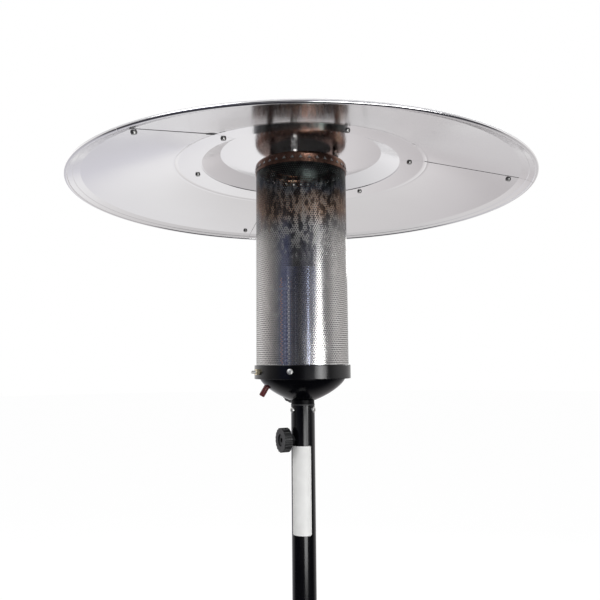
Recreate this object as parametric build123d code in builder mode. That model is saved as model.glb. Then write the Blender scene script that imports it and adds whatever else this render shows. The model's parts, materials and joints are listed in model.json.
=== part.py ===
"""Free-standing portable gas heater: a three-panel reflector over a perforated burner
screen, on a telescopic mast that rises from a round base with a lift-up cylinder housing.

Millimetres. The origin is on the mast axis at floor level, +Z is up and -Y is the front.
Azimuths are measured about the mast from the front (-Y) towards +X.
"""

import os
from math import asin, atan, cos, degrees, hypot, radians, sin, sqrt

from build123d import *

os.makedirs("parts", exist_ok=True)

# Clearances
seat_gap = 0.1
running_gap = 0.1
rest_gap = 0.3
hole_gap = 0.3

# Base and its feet
foot_height = 14
foot_radius = 18
foot_circle = 165
foot_count = 4
base_radius = 230
base_height = 20
base_wall = 2
base_edge_fillet = 10
ballast_radius = 200
ballast_bore = 60
ballast_height = 16

# Support legs and the plate that carries the mast
leg_count = 3
leg_azimuth = 60
leg_radius = 168
leg_width = 40
leg_thickness = 4
leg_tab = 20
leg_bend = 6
bay_height = 616
plate_radius = 174
plate_thickness = 5
plate_window_radius = 30
plate_window_circle = 105

# Mast
mast_radius = 21
mast_wall = 1.5
mast_length = 720
mast_flange_radius = 50
mast_flange_height = 5
bush_flange = 2
bush_depth = 40
inner_tube_radius = 17.5
inner_tube_wall = 1.5
inner_tube_length = 560
glide_height = 25

# Mast clamp
clamp_azimuth = -64
clamp_drop = 59
clamp_boss_flats = 16
clamp_boss_length = 7
clamp_stud_radius = 4
knob_radius = 21
knob_thickness = 14
knob_stand_off = 30
knob_flutes = 18
knob_flute_radius = 2.2
knob_face_recess = 7

# Fasteners
screw_radius = 2
screw_head_radius = 3.6
screw_head_height = 2.2
bolt_radius = 2.5
bolt_head_radius = 4.8
bolt_head_height = 3
nut_flats = 9
nut_height = 4
frame_bolt_radius = 3
frame_bolt_head_flats = 10
frame_bolt_head_height = 4
stud_radius = 3
stud_nut_flats = 10
stud_nut_height = 5

# Bowl, collar and neck of the head
neck_ring_radius = 20.5
neck_ring_height = 6.2
neck_bore = 12
neck_spigot = 26
neck_flange_radius = 27
bowl_radius = 76
bowl_curve_height = 41
bowl_depth = 38
bowl_wall = 2
bowl_flange = 12
collar_radius = 85.5
collar_height = 24
collar_wall = 3.1
collar_fillet = 1
collar_screw_azimuths = (-14, 106, 226)
collar_screw_drop = 11
earth_azimuth = -62
earth_drop = 11.5
earth_bolt_reach = 13

# Controls on the bowl
control_tilt = 27
control_circle = 65
control_height = 46
igniter_azimuth = -90
igniter_radius = 12
igniter_depth = 44
igniter_button_radius = 10
igniter_button_proud = 8
igniter_travel = 5
boss_wall = 3
boss_proud = 5
valve_azimuth = -165
valve_radius = 11
valve_depth = 52
valve_cup_radius = 9
spindle_radius = 4
control_knob_radius = 19
control_knob_thickness = 16
control_knob_flutes = 12
hose_tail_radius = 5

# Burner
screen_radius = 82
screen_wall = 0.8
screen_height = 350
top_ring_wall = 1
top_ring_lap = 4
top_ring_height = 16
top_ring_fillet = 7
top_ring_mouth = 56
vent_count = 36
vent_width = 7
vent_height = 6
floor_thickness = 1.5
floor_drop = 3
mixer_radius = 31
mixer_wall = 1.2
mixer_height = 174
burner_radius = 36
burner_height = 52
burner_wall = 2
burner_crown = 12
burner_port_count = 24
burner_port_base = 15
burner_port_width = 3
burner_port_height = 12
burner_port_rows = 2
jet_radius = 5
jet_height = 14
pilot_azimuth = -40
pilot_circle = 47
pilot_height = 150
pilot_spread = 10
pilot_rod_radius = 2

# Reflector, as heights above the collar and radii from the axis
rim_radius = 406.5
rim_bead_radius = 3
rim_height = 306
hem_radius = 393
hem_step = 0.6
band_radius = 381
band_rise = 10
flange_radius = 221.5
flange_rise = 41.2
mouth_radius = 182
mouth_rise = 4.6
disc_radius = 147
disc_rise = 19.2
reflector_sheet = 0.8
pan_flange_radius = 215
seam_azimuths = (-38.5, 81.5, 201.5)
seam_line_offset = 2.5
seam_tab = 5.5
seam_joggle = 0.6
rim_screw_circle = 366
pan_bolt_circle = 197
pan_bolt_count = 6
stud_azimuth = -9
stud_circle = 70
stud_count = 3
spacer_nuts = 3
stud_top = 9

# Cylinder housing
housing_radius = 200
housing_wall = 1.2
housing_height = 606
housing_dome_height = 66
housing_vent_count = 24
housing_vent_width = 8
housing_vent_height = 40
housing_vent_base = 30
housing_bush_height = 12
housing_bush_width = 12
housing_lip = 10
rivet_count = 8
rivet_radius = 3

# Wheels
wheel_radius = 50
wheel_width = 24
tyre_thickness = 9
wheel_hub_radius = 14
wheel_spokes = 5
wheel_floor_gap = 2
wheel_axle_radius = 6
axle_offset = 42
bracket_half_width = 58
bracket_wall = 3
bracket_height = 30
axle_cap_radius = 10
axle_cap_height = 6

# Heights that follow
pan_top = foot_height + base_height
plate_bottom = pan_top + bay_height
plate_top = plate_bottom + plate_thickness
mast_top = plate_top + mast_length
bush_top = mast_top + bush_flange
neck_bottom = bush_top + rest_gap
bowl_bottom = neck_bottom + neck_ring_height
collar_bottom = bowl_bottom + bowl_depth
collar_top = collar_bottom + collar_height
clamp_height = mast_top - clamp_drop
screen_top = collar_top + screen_height
top_ring_top = screen_top + top_ring_height
disc_bottom = top_ring_top + spacer_nuts * stud_nut_height
pan_offset = reflector_sheet + seat_gap

rim_z = collar_top + rim_height
band_z = rim_z + band_rise
flange_z = band_z + flange_rise
mouth_z = flange_z + mouth_rise
mast_bore = mast_radius - mast_wall


def polar(radius, azimuth, height=0):
    """Point at a radius and an azimuth from the front."""
    turn = radians(azimuth - 90)
    return Vector(radius * cos(turn), radius * sin(turn), height)


def radial_plane(azimuth, radius=0, height=0):
    """Plane whose x points outwards along an azimuth and whose y points up."""
    outward = polar(1, azimuth)
    return Plane(
        origin=polar(radius, azimuth, height),
        x_dir=outward,
        z_dir=outward.cross(Vector(0, 0, 1)),
    )


def facing_plane(azimuth, radius, height, dip=0):
    """Plane at a radius that faces outwards, dipped below the horizontal."""
    side = polar(1, azimuth + 90)
    normal = polar(cos(radians(dip)), azimuth, -sin(radians(dip)))
    return Plane(origin=polar(radius, azimuth, height), x_dir=side, z_dir=normal)


def sheet_plane(azimuth, radius, height, rise, run):
    """Plane on a cone that rises inwards, facing up along the sheet's normal."""
    slope = atan(rise / run)
    normal = polar(sin(slope), azimuth, cos(slope))
    return Plane(origin=polar(radius, azimuth, height), x_dir=polar(1, azimuth + 90), z_dir=normal)


def hexagon(flats):
    """Hexagon by its width across flats."""
    RegularPolygon(flats / 2, 6, major_radius=False)


def sheet_outline(points, thickness):
    """Outline of a thin sheet: its underside points, then the same line above them."""
    above = [(x, y + thickness) for x, y in reversed(points)]
    return [*points, *above]


def save(name, label):
    """Label a finished piece and write it."""
    name.part.label = label
    export_step(name.part, f"parts/{label}.step")


def tube(label, outer, inner, bottom, top, chamfer_size=0):
    """Round tube on the mast axis."""
    with BuildPart() as piece:
        with BuildSketch(Plane.XY.offset(bottom)):
            Circle(outer)
            Circle(inner, mode=Mode.SUBTRACT)
        extrude(amount=top - bottom)
        if chamfer_size:
            chamfer(piece.edges().filter_by(GeomType.CIRCLE), chamfer_size)
    save(piece, label)


# Base pan, a pressed disc with a rolled edge
with BuildPart() as base_pan:
    with BuildSketch(Plane.XY.offset(foot_height)):
        Circle(base_radius)
    extrude(amount=base_height)
    fillet(base_pan.edges().group_by(Axis.Z)[-1], base_edge_fillet)
    offset(amount=-base_wall, openings=base_pan.faces().sort_by(Axis.Z)[0])
    with BuildSketch(Plane.XY.offset(pan_top - base_wall)):
        with PolarLocations(leg_radius + leg_tab / 2 + leg_thickness, leg_count, leg_azimuth - 90):
            Circle(frame_bolt_radius + hole_gap)
    extrude(amount=base_wall, mode=Mode.SUBTRACT)
save(base_pan, "base_pan")

# Ballast ring clamped under the pan
ballast_top = pan_top - base_wall - seat_gap
with BuildPart() as ballast_ring:
    with BuildSketch(Plane.XY.offset(ballast_top)):
        Circle(ballast_radius)
        Circle(ballast_bore, mode=Mode.SUBTRACT)
        with PolarLocations(leg_radius + leg_tab / 2 + leg_thickness, leg_count, leg_azimuth - 90):
            Circle(frame_bolt_radius + hole_gap, mode=Mode.SUBTRACT)
    extrude(amount=-ballast_height)
    chamfer(ballast_ring.edges().group_by(Axis.Z)[0].filter_by(GeomType.CIRCLE).sort_by(SortBy.LENGTH)[-1], 3)
save(ballast_ring, "ballast_ring")

# Rubber feet under the ballast
ballast_bottom = ballast_top - ballast_height
with BuildPart() as rubber_feet:
    with BuildSketch():
        with PolarLocations(foot_circle, foot_count, 45):
            Circle(foot_radius)
    extrude(amount=ballast_bottom)
    chamfer(rubber_feet.edges().group_by(Axis.Z)[0], 2)
save(rubber_feet, "rubber_feet")

# Support legs, bent strips with a tab outwards below and inwards above
leg_foot = leg_radius + leg_thickness + leg_tab
leg_head = leg_radius - leg_tab
for index in range(leg_count):
    azimuth = leg_azimuth + index * 360 / leg_count
    with BuildPart() as support_leg:
        with BuildSketch(radial_plane(azimuth)):
            with BuildLine():
                path = FilletPolyline(
                    (leg_foot, pan_top + leg_thickness / 2),
                    (leg_radius + leg_thickness / 2, pan_top + leg_thickness / 2),
                    (leg_radius + leg_thickness / 2, plate_bottom - leg_thickness / 2),
                    (leg_head, plate_bottom - leg_thickness / 2),
                    radius=leg_bend,
                )
                offset(path, amount=leg_thickness / 2, side=Side.BOTH)
            make_face()
        extrude(amount=leg_width / 2, both=True)
        for circle, low, high in (
            (leg_radius + leg_thickness + leg_tab / 2, pan_top, pan_top + leg_thickness),
            (leg_radius - leg_tab / 2, plate_bottom - leg_thickness, plate_bottom),
        ):
            with BuildSketch(Plane(origin=polar(circle, azimuth, low))):
                Circle(frame_bolt_radius + hole_gap)
            extrude(amount=high - low, mode=Mode.SUBTRACT)
    save(support_leg, f"support_leg_{index + 1}")

# Plate that joins the legs and carries the mast, open between them for the cylinder's valve
flange_bolt_circle = (mast_flange_radius + mast_radius) / 2
with BuildPart() as mast_plate:
    with BuildSketch(Plane.XY.offset(plate_bottom)):
        Circle(plate_radius)
        with PolarLocations(plate_window_circle, leg_count, leg_azimuth - 90 + 180 / leg_count):
            Circle(plate_window_radius, mode=Mode.SUBTRACT)
        with PolarLocations(leg_radius - leg_tab / 2, leg_count, leg_azimuth - 90):
            Circle(frame_bolt_radius + hole_gap, mode=Mode.SUBTRACT)
        with PolarLocations(flange_bolt_circle, leg_count, leg_azimuth - 90):
            Circle(frame_bolt_radius + hole_gap, mode=Mode.SUBTRACT)
        Circle(mast_bore, mode=Mode.SUBTRACT)
    extrude(amount=plate_thickness)
save(mast_plate, "mast_plate")

# Fixed lower mast with its welded flange
with BuildPart() as mast_tube:
    with BuildSketch(Plane.XY.offset(plate_top)):
        Circle(mast_flange_radius)
        with PolarLocations(flange_bolt_circle, leg_count, leg_azimuth - 90):
            Circle(frame_bolt_radius + hole_gap, mode=Mode.SUBTRACT)
    extrude(amount=mast_flange_height)
    with BuildSketch(Plane.XY.offset(plate_top)):
        Circle(mast_radius)
    extrude(amount=mast_length)
    with BuildSketch(Plane.XY.offset(plate_top)):
        Circle(mast_bore)
    extrude(amount=mast_length, mode=Mode.SUBTRACT)
    with BuildSketch(facing_plane(clamp_azimuth, 0, clamp_height)):
        Circle(clamp_stud_radius + hole_gap)
    extrude(amount=mast_radius + 1, mode=Mode.SUBTRACT)
    bush_screw_height = mast_top - 10
    for turn in range(3):
        with BuildSketch(facing_plane(180 + turn * 120, 0, bush_screw_height)):
            Circle(screw_radius + hole_gap / 2)
        extrude(amount=mast_radius + 1, mode=Mode.SUBTRACT)
save(mast_tube, "mast_tube")

# Hex bolts of the frame: legs to pan, legs to plate, mast to plate
bolt_seats = []
for index in range(leg_count):
    azimuth = leg_azimuth + index * 360 / leg_count
    bolt_seats.append((leg_radius + leg_thickness + leg_tab / 2, azimuth, pan_top + leg_thickness, base_height))
    bolt_seats.append((leg_radius - leg_tab / 2, azimuth, plate_top, plate_thickness + leg_thickness + 4))
    flange_top = plate_top + mast_flange_height
    bolt_seats.append((flange_bolt_circle, azimuth, flange_top, mast_flange_height + plate_thickness + 4))
with BuildPart() as frame_bolts:
    for circle, azimuth, seat, length in bolt_seats:
        with BuildSketch(Plane(origin=polar(circle, azimuth, seat))):
            hexagon(frame_bolt_head_flats)
        extrude(amount=frame_bolt_head_height)
        with BuildSketch(Plane(origin=polar(circle, azimuth, seat))):
            Circle(frame_bolt_radius)
        extrude(amount=-length)
save(frame_bolts, "frame_bolts")

# Guide bush in the top of the fixed mast
with BuildPart() as guide_bush:
    with BuildSketch(Plane.XY.offset(mast_top)):
        Circle(mast_radius)
    extrude(amount=bush_flange)
    with BuildSketch(Plane.XY.offset(mast_top)):
        Circle(mast_bore - running_gap)
    extrude(amount=-bush_depth)
    with BuildSketch(Plane.XY.offset(bush_top)):
        Circle(inner_tube_radius + running_gap)
    extrude(amount=-bush_depth - bush_flange, mode=Mode.SUBTRACT)
save(guide_bush, "guide_bush")

# Screws that hold the bush
with BuildPart() as bush_screws:
    for turn in range(3):
        azimuth = 180 + turn * 120
        with BuildSketch(facing_plane(azimuth, mast_radius + seat_gap, bush_screw_height)):
            Circle(screw_head_radius)
        extrude(amount=screw_head_height)
        with BuildSketch(facing_plane(azimuth, mast_bore, bush_screw_height)):
            Circle(screw_radius)
        extrude(amount=mast_wall + seat_gap)
    fillet(bush_screws.edges().filter_by(GeomType.CIRCLE).filter_by(
        lambda edge: abs(edge.radius - screw_head_radius) < 0.01
        and hypot(edge.arc_center.X, edge.arc_center.Y) > mast_radius + screw_head_height / 2), 1)
save(bush_screws, "bush_screws")

# Welded nut that the clamp stud runs in
with BuildPart() as clamp_boss:
    with BuildSketch(facing_plane(clamp_azimuth, mast_radius - 3, clamp_height)):
        hexagon(clamp_boss_flats)
        Circle(clamp_stud_radius + running_gap, mode=Mode.SUBTRACT)
    extrude(amount=clamp_boss_length + 3)
    with BuildSketch(Plane.XY.offset(clamp_height - clamp_boss_flats)):
        Circle(mast_radius)
    extrude(amount=2 * clamp_boss_flats, mode=Mode.SUBTRACT)
save(clamp_boss, "clamp_boss")

# Clamp stud, its tip just clear of the sliding tube
knob_face = knob_stand_off + knob_thickness
with BuildPart() as clamp_stud:
    with BuildSketch(facing_plane(clamp_azimuth, inner_tube_radius + rest_gap, clamp_height)):
        Circle(clamp_stud_radius)
    extrude(amount=knob_face - knob_face_recess - inner_tube_radius - rest_gap)
save(clamp_stud, "clamp_stud")

# Fluted clamp knob moulded round the stud
with BuildPart() as clamp_knob:
    with BuildSketch(facing_plane(clamp_azimuth, knob_stand_off, clamp_height)):
        Circle(knob_radius)
        with PolarLocations(knob_radius + knob_flute_radius / 2, knob_flutes):
            Circle(knob_flute_radius, mode=Mode.SUBTRACT)
        Circle(clamp_stud_radius, mode=Mode.SUBTRACT)
    extrude(amount=knob_thickness)
    with BuildSketch(facing_plane(clamp_azimuth, knob_face, clamp_height)):
        Circle(knob_radius / 2)
        Circle(clamp_stud_radius, mode=Mode.SUBTRACT)
    extrude(amount=-2, mode=Mode.SUBTRACT)
    with BuildSketch(facing_plane(clamp_azimuth, knob_stand_off, clamp_height)):
        Circle(knob_radius / 2)
        Circle(clamp_stud_radius, mode=Mode.SUBTRACT)
    extrude(amount=-(knob_stand_off - mast_radius - clamp_boss_length - 1))
save(clamp_knob, "clamp_knob")

# Sliding upper tube and the glide on its lower end
tube_top = neck_bottom
tube_bottom = tube_top - inner_tube_length
tube("inner_tube", inner_tube_radius, inner_tube_radius - inner_tube_wall, tube_bottom, tube_top)
with BuildPart() as tube_glide:
    with BuildSketch(Plane.XY.offset(tube_bottom - bush_flange)):
        Circle(mast_bore - running_gap)
        Circle(neck_bore, mode=Mode.SUBTRACT)
    extrude(amount=bush_flange)
    with BuildSketch(Plane.XY.offset(tube_bottom)):
        Circle(inner_tube_radius - inner_tube_wall - seat_gap)
        Circle(neck_bore, mode=Mode.SUBTRACT)
    extrude(amount=glide_height)
save(tube_glide, "tube_glide")

# Neck socket that joins the bowl to the sliding tube
with BuildPart() as neck_socket:
    with BuildSketch(Plane.XY.offset(neck_bottom)):
        Circle(neck_ring_radius)
    extrude(amount=neck_ring_height + bowl_wall)
    with BuildSketch(Plane.XY.offset(bowl_bottom + bowl_wall)):
        Circle(neck_flange_radius - bowl_wall)
    extrude(amount=3)
    with BuildSketch(Plane.XY.offset(neck_bottom)):
        Circle(inner_tube_radius - inner_tube_wall - seat_gap)
    extrude(amount=-neck_spigot)
    with BuildSketch(Plane.XY.offset(neck_bottom - neck_spigot)):
        Circle(neck_bore)
    extrude(amount=neck_spigot + neck_ring_height + bowl_wall + 3, mode=Mode.SUBTRACT)
save(neck_socket, "neck_socket")

# Bowl under the collar, with bosses for the igniter and the gas tap
igniter_seat = facing_plane(igniter_azimuth, control_circle, collar_top - control_height, control_tilt)
valve_seat = facing_plane(valve_azimuth, control_circle, collar_top - control_height, control_tilt)
bowl_arc = degrees(asin(bowl_depth / bowl_curve_height))
bowl_inner_arc = degrees(asin((bowl_depth - bowl_wall) / (bowl_curve_height - bowl_wall)))
with BuildPart() as bowl:
    with BuildSketch(Plane.XZ):
        with BuildLine():
            outer = EllipticalCenterArc(
                (0, collar_bottom), bowl_radius, bowl_curve_height, start_angle=-bowl_arc, arc_size=bowl_arc
            )
            Line(outer @ 0, (0, (outer @ 0).Y))
            Line((0, (outer @ 0).Y), (0, collar_bottom))
            Line((0, collar_bottom), outer @ 1)
        make_face()
    revolve(axis=Axis.Z)
    for seat, radius in ((igniter_seat, igniter_radius), (valve_seat, valve_cup_radius)):
        with BuildSketch(seat.offset(boss_proud)):
            Circle(radius + boss_wall)
        extrude(amount=-boss_proud - 12)
    with BuildSketch(Plane.XZ):
        with BuildLine():
            inner = EllipticalCenterArc(
                (0, collar_bottom),
                bowl_radius - bowl_wall,
                bowl_curve_height - bowl_wall,
                start_angle=-bowl_inner_arc,
                arc_size=bowl_inner_arc,
            )
            Line(inner @ 0, (0, (inner @ 0).Y))
            Line((0, (inner @ 0).Y), (0, collar_bottom))
            Line((0, collar_bottom), inner @ 1)
        make_face()
    revolve(axis=Axis.Z, mode=Mode.SUBTRACT)
    with BuildSketch(Plane.XY.offset(collar_bottom - bowl_wall)):
        Circle(bowl_radius - bowl_wall / 2)
        Circle(bowl_radius - bowl_flange, mode=Mode.SUBTRACT)
    extrude(amount=bowl_wall)
    for seat, radius in ((igniter_seat, igniter_radius), (valve_seat, valve_cup_radius)):
        with BuildSketch(seat.offset(boss_proud)):
            Circle(radius + hole_gap)
        extrude(amount=-boss_proud - 30, mode=Mode.SUBTRACT)
    with BuildSketch(Plane.XY.offset(bowl_bottom - bowl_wall)):
        Circle(neck_ring_radius + seat_gap)
    extrude(amount=4 * bowl_wall, mode=Mode.SUBTRACT)
save(bowl, "bowl")

# Collar that holds the screen, with its fixing screws
with BuildPart() as collar:
    with BuildSketch(Plane.XY.offset(collar_bottom)):
        Circle(collar_radius)
    extrude(amount=collar_height)
    fillet(collar.edges().filter_by(GeomType.CIRCLE), collar_fillet)
    with BuildSketch(Plane.XY.offset(collar_bottom + collar_wall)):
        Circle(collar_radius - collar_wall)
    extrude(amount=collar_height, mode=Mode.SUBTRACT)
    with BuildSketch(Plane.XY.offset(collar_bottom)):
        Circle(bowl_radius - bowl_flange)
    extrude(amount=collar_height, mode=Mode.SUBTRACT)
    for azimuth in collar_screw_azimuths:
        with BuildSketch(facing_plane(azimuth, 0, collar_top - collar_screw_drop)):
            Circle(screw_radius + hole_gap / 2)
        extrude(amount=collar_radius + 1, mode=Mode.SUBTRACT)
    with BuildSketch(facing_plane(earth_azimuth, 0, collar_top - earth_drop)):
        Circle(bolt_radius + hole_gap / 2)
    extrude(amount=collar_radius + 1, mode=Mode.SUBTRACT)
save(collar, "collar")

# Burner floor with a turned-down skirt inside the screen
floor_radius = screen_radius - screen_wall - seat_gap
floor_top = collar_top - floor_drop
skirt_bottom = collar_bottom + collar_wall + seat_gap
with BuildPart() as burner_floor:
    with BuildSketch(Plane.XY.offset(skirt_bottom)):
        Circle(floor_radius)
    extrude(amount=floor_top - skirt_bottom)
    with BuildSketch(Plane.XY.offset(skirt_bottom)):
        Circle(floor_radius - floor_thickness)
    extrude(amount=floor_top - skirt_bottom - floor_thickness, mode=Mode.SUBTRACT)
    with BuildSketch(Plane.XY.offset(floor_top - floor_thickness)):
        Circle(mixer_radius + seat_gap)
        for spread in (-pilot_spread, 0, pilot_spread):
            with Locations(polar(pilot_circle, pilot_azimuth + spread)):
                Circle(pilot_rod_radius + hole_gap)
    extrude(amount=floor_thickness, mode=Mode.SUBTRACT)
    for azimuth in collar_screw_azimuths:
        with BuildSketch(facing_plane(azimuth, 0, collar_top - collar_screw_drop)):
            Circle(screw_radius + hole_gap / 2)
        extrude(amount=collar_radius, mode=Mode.SUBTRACT)
    with BuildSketch(facing_plane(earth_azimuth, 0, collar_top - earth_drop)):
        Circle(bolt_radius + hole_gap / 2)
    extrude(amount=collar_radius, mode=Mode.SUBTRACT)
save(burner_floor, "burner_floor")

# Cylindrical screen; its fine perforation is left to the finish
with BuildPart() as burner_screen:
    with BuildSketch(Plane.XY.offset(skirt_bottom)):
        Circle(screen_radius)
        Circle(screen_radius - screen_wall, mode=Mode.SUBTRACT)
    extrude(amount=screen_top - skirt_bottom)
    for azimuth in collar_screw_azimuths:
        with BuildSketch(facing_plane(azimuth, 0, collar_top - collar_screw_drop)):
            Circle(screw_radius + hole_gap / 2)
        extrude(amount=collar_radius, mode=Mode.SUBTRACT)
    with BuildSketch(facing_plane(earth_azimuth, 0, collar_top - earth_drop)):
        Circle(bolt_radius + hole_gap / 2)
    extrude(amount=collar_radius, mode=Mode.SUBTRACT)
save(burner_screen, "burner_screen")

# Collar screws, through collar, screen and floor skirt
with BuildPart() as collar_screws:
    for azimuth in collar_screw_azimuths:
        height = collar_top - collar_screw_drop
        with BuildSketch(facing_plane(azimuth, collar_radius + seat_gap, height)):
            Circle(bolt_head_radius)
        extrude(amount=screw_head_height)
        with BuildSketch(facing_plane(azimuth, collar_radius + seat_gap, height)):
            Circle(screw_radius)
        extrude(amount=-9)
save(collar_screws, "collar_screws")

# Earth bolt with its brass nut
earth_height = collar_top - earth_drop
with BuildPart() as earth_bolt:
    with BuildSketch(facing_plane(earth_azimuth, collar_radius + earth_bolt_reach, earth_height)):
        Circle(bolt_radius)
    extrude(amount=-earth_bolt_reach - 8)
    with BuildSketch(facing_plane(earth_azimuth, collar_radius - 8, earth_height)):
        Circle(bolt_head_radius)
    extrude(amount=-bolt_head_height)
save(earth_bolt, "earth_bolt")
with BuildPart() as earth_nut:
    with BuildSketch(facing_plane(earth_azimuth, collar_radius + seat_gap, earth_height)):
        hexagon(stud_nut_flats)
        Circle(bolt_radius + running_gap, mode=Mode.SUBTRACT)
    extrude(amount=stud_nut_height)
save(earth_nut, "earth_nut")

# Mixer tube and the burner head on it
tube(
    "mixer_tube",
    mixer_radius,
    mixer_radius - mixer_wall,
    floor_top - floor_thickness,
    collar_top + mixer_height,
)
burner_bottom = collar_top + mixer_height
shoulder_z = burner_bottom + burner_height - burner_crown
with BuildPart() as burner_head:
    for inset, way in ((0, Mode.ADD), (burner_wall, Mode.SUBTRACT)):
        side = burner_radius - inset
        base_z = burner_bottom + seat_gap + inset
        with BuildSketch(Plane.XZ):
            with BuildLine():
                rise = burner_crown - inset
                cap = (side**2 + rise**2) / (2 * rise)
                crown_start = degrees(atan((cap - rise) / side))
                crown = CenterArc((0, shoulder_z + rise - cap), cap, crown_start, 90 - crown_start)
                Polyline(
                    crown @ 1,
                    (0, base_z),
                    (mixer_radius - inset, base_z),
                    (side, base_z + burner_radius - mixer_radius),
                    crown @ 0,
                )
            make_face()
        revolve(axis=Axis.Z, mode=way)
    with BuildSketch(Plane.XY.offset(burner_bottom)):
        Circle(mixer_radius - 2 * mixer_wall)
    extrude(amount=2 * burner_wall, mode=Mode.SUBTRACT)
    for row in range(burner_port_rows):
        port_height = burner_bottom + burner_port_base + row * (burner_port_height + 4)
        for port in range(burner_port_count):
            azimuth = (port + row / 2) * 360 / burner_port_count
            with BuildSketch(facing_plane(azimuth, burner_radius - 2 * burner_wall, port_height)):
                Rectangle(burner_port_width, burner_port_height)
            extrude(amount=3 * burner_wall, mode=Mode.SUBTRACT)
save(burner_head, "burner_head")

# Gas tap inside the bowl, with its inlet tail and jet
valve_inner = valve_seat.offset(-valve_depth)
valve_centre = Vector(0, 0, valve_inner.origin.Z)
with BuildPart() as gas_tap:
    with BuildSketch(valve_inner):
        Circle(valve_cup_radius)
    extrude(amount=valve_depth)
    with BuildSketch(valve_inner):
        Circle(valve_radius)
    extrude(amount=valve_depth / 2)
    with BuildSketch(facing_plane(valve_azimuth, 0, valve_centre.Z)):
        Circle(valve_cup_radius - 1)
    extrude(amount=hypot(valve_inner.origin.X, valve_inner.origin.Y))
    with BuildSketch(Plane(origin=valve_centre - Vector(0, 0, 12))):
        Circle(valve_cup_radius)
    extrude(amount=24)
    with BuildSketch(valve_seat):
        Circle(spindle_radius + running_gap)
    extrude(amount=-valve_depth / 2, mode=Mode.SUBTRACT)
save(gas_tap, "gas_tap")
with BuildPart() as gas_jet:
    with BuildSketch(Plane(origin=valve_centre + Vector(0, 0, 12))):
        hexagon(2 * jet_radius)
    extrude(amount=jet_height / 2)
    with BuildSketch(Plane(origin=valve_centre + Vector(0, 0, 12 + jet_height / 2))):
        Circle(jet_radius - 1.5)
    extrude(amount=jet_height / 2)
save(gas_jet, "gas_jet")
with BuildPart() as hose_tail:
    tail_top = valve_centre.Z - 12
    with BuildSketch(Plane.XZ):
        with BuildLine():
            Polyline((0, tail_top), (hose_tail_radius + 2, tail_top), (hose_tail_radius + 2, tail_top - 8))
            Line((hose_tail_radius + 2, tail_top - 8), (hose_tail_radius - 1, tail_top - 8))
            barb = Vector(hose_tail_radius - 1, tail_top - 8)
            for step in range(4):
                wide = Vector(hose_tail_radius, barb.Y - 1)
                narrow = Vector(hose_tail_radius - 1, barb.Y - 5)
                Polyline(barb, wide, narrow)
                barb = narrow
            Polyline(barb, (0, barb.Y), (0, tail_top))
        make_face()
    revolve(axis=Axis.Z)
save(hose_tail, "hose_tail")

# Spindle and knob of the gas tap
with BuildPart() as tap_spindle:
    with BuildSketch(valve_seat.offset(-valve_depth / 2 + rest_gap)):
        Circle(spindle_radius)
    extrude(amount=valve_depth / 2 + boss_proud + control_knob_thickness / 2)
save(tap_spindle, "tap_spindle")
knob_seat = valve_seat.offset(boss_proud + 1)
with BuildPart() as control_knob:
    with BuildSketch(knob_seat):
        Circle(control_knob_radius)
        with PolarLocations(control_knob_radius + 2, control_knob_flutes):
            Circle(3, mode=Mode.SUBTRACT)
    extrude(amount=control_knob_thickness, taper=4)
    with BuildSketch(knob_seat.offset(control_knob_thickness)):
        with Locations((0, control_knob_radius / 2 - 1)):
            Rectangle(1.6, control_knob_radius - 5)
    extrude(amount=-1, mode=Mode.SUBTRACT)
    with BuildSketch(knob_seat):
        Circle(spindle_radius)
    spindle_in_knob = control_knob_thickness / 2 - 1 + rest_gap
    extrude(amount=spindle_in_knob, mode=Mode.SUBTRACT)
save(control_knob, "control_knob")

# Piezo igniter barrel and its push button
igniter_face = igniter_seat.offset(boss_proud + seat_gap)
button_depth = igniter_travel + 6
with BuildPart() as igniter_barrel:
    with BuildSketch(igniter_face):
        Circle(igniter_radius + boss_wall - 0.5)
    extrude(amount=1.5)
    with BuildSketch(igniter_face):
        Circle(igniter_radius)
    extrude(amount=-igniter_depth)
    with BuildSketch(igniter_face.offset(1.5)):
        Circle(igniter_button_radius + running_gap)
    extrude(amount=-button_depth - 1.5, mode=Mode.SUBTRACT)
save(igniter_barrel, "igniter_barrel")
with BuildPart() as igniter_button:
    with BuildSketch(igniter_face.offset(1.5 + igniter_button_proud)):
        Circle(igniter_button_radius)
    extrude(amount=-igniter_button_proud - 1.5 - button_depth + igniter_travel + rest_gap)
    fillet(igniter_button.edges().filter_by(GeomType.CIRCLE).sort_by(Axis.X)[0], 1.5)
save(igniter_button, "igniter_button")

# Pilot group beside the burner: bracket, pilot burner, thermocouple and electrode
pilot_top = collar_top + pilot_height
with BuildPart() as pilot_bracket:
    with BuildSketch(Plane.XY.offset(pilot_top - 20)):
        with Locations(polar(pilot_circle, pilot_azimuth)):
            Rectangle(30, 26, rotation=pilot_azimuth)
        Circle(mixer_radius + seat_gap, mode=Mode.SUBTRACT)
        for spread in (-pilot_spread, 0, pilot_spread):
            with Locations(polar(pilot_circle, pilot_azimuth + spread)):
                Circle(pilot_rod_radius + seat_gap, mode=Mode.SUBTRACT)
    extrude(amount=2)
save(pilot_bracket, "pilot_bracket")
pilot_pieces = (
    ("thermocouple", -pilot_spread, 1.5, 14),
    ("pilot_burner", 0, 3.5, 8),
    ("spark_electrode", pilot_spread, 1.2, 18),
)
for label, spread, tip_radius, tip_length in pilot_pieces:
    with BuildPart() as pilot_piece:
        foot = polar(pilot_circle, pilot_azimuth + spread, collar_top - 12)
        head = polar(pilot_circle, pilot_azimuth + spread, pilot_top - 18 + seat_gap)
        with BuildSketch(Plane(origin=foot)):
            Circle(pilot_rod_radius)
        extrude(amount=head.Z - foot.Z)
        with BuildSketch(Plane(origin=head)):
            Circle(max(tip_radius, pilot_rod_radius + 1))
        extrude(amount=6)
        with BuildSketch(Plane(origin=head + Vector(0, 0, 6))):
            Circle(tip_radius)
        extrude(amount=tip_length)
    save(pilot_piece, label)

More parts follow.
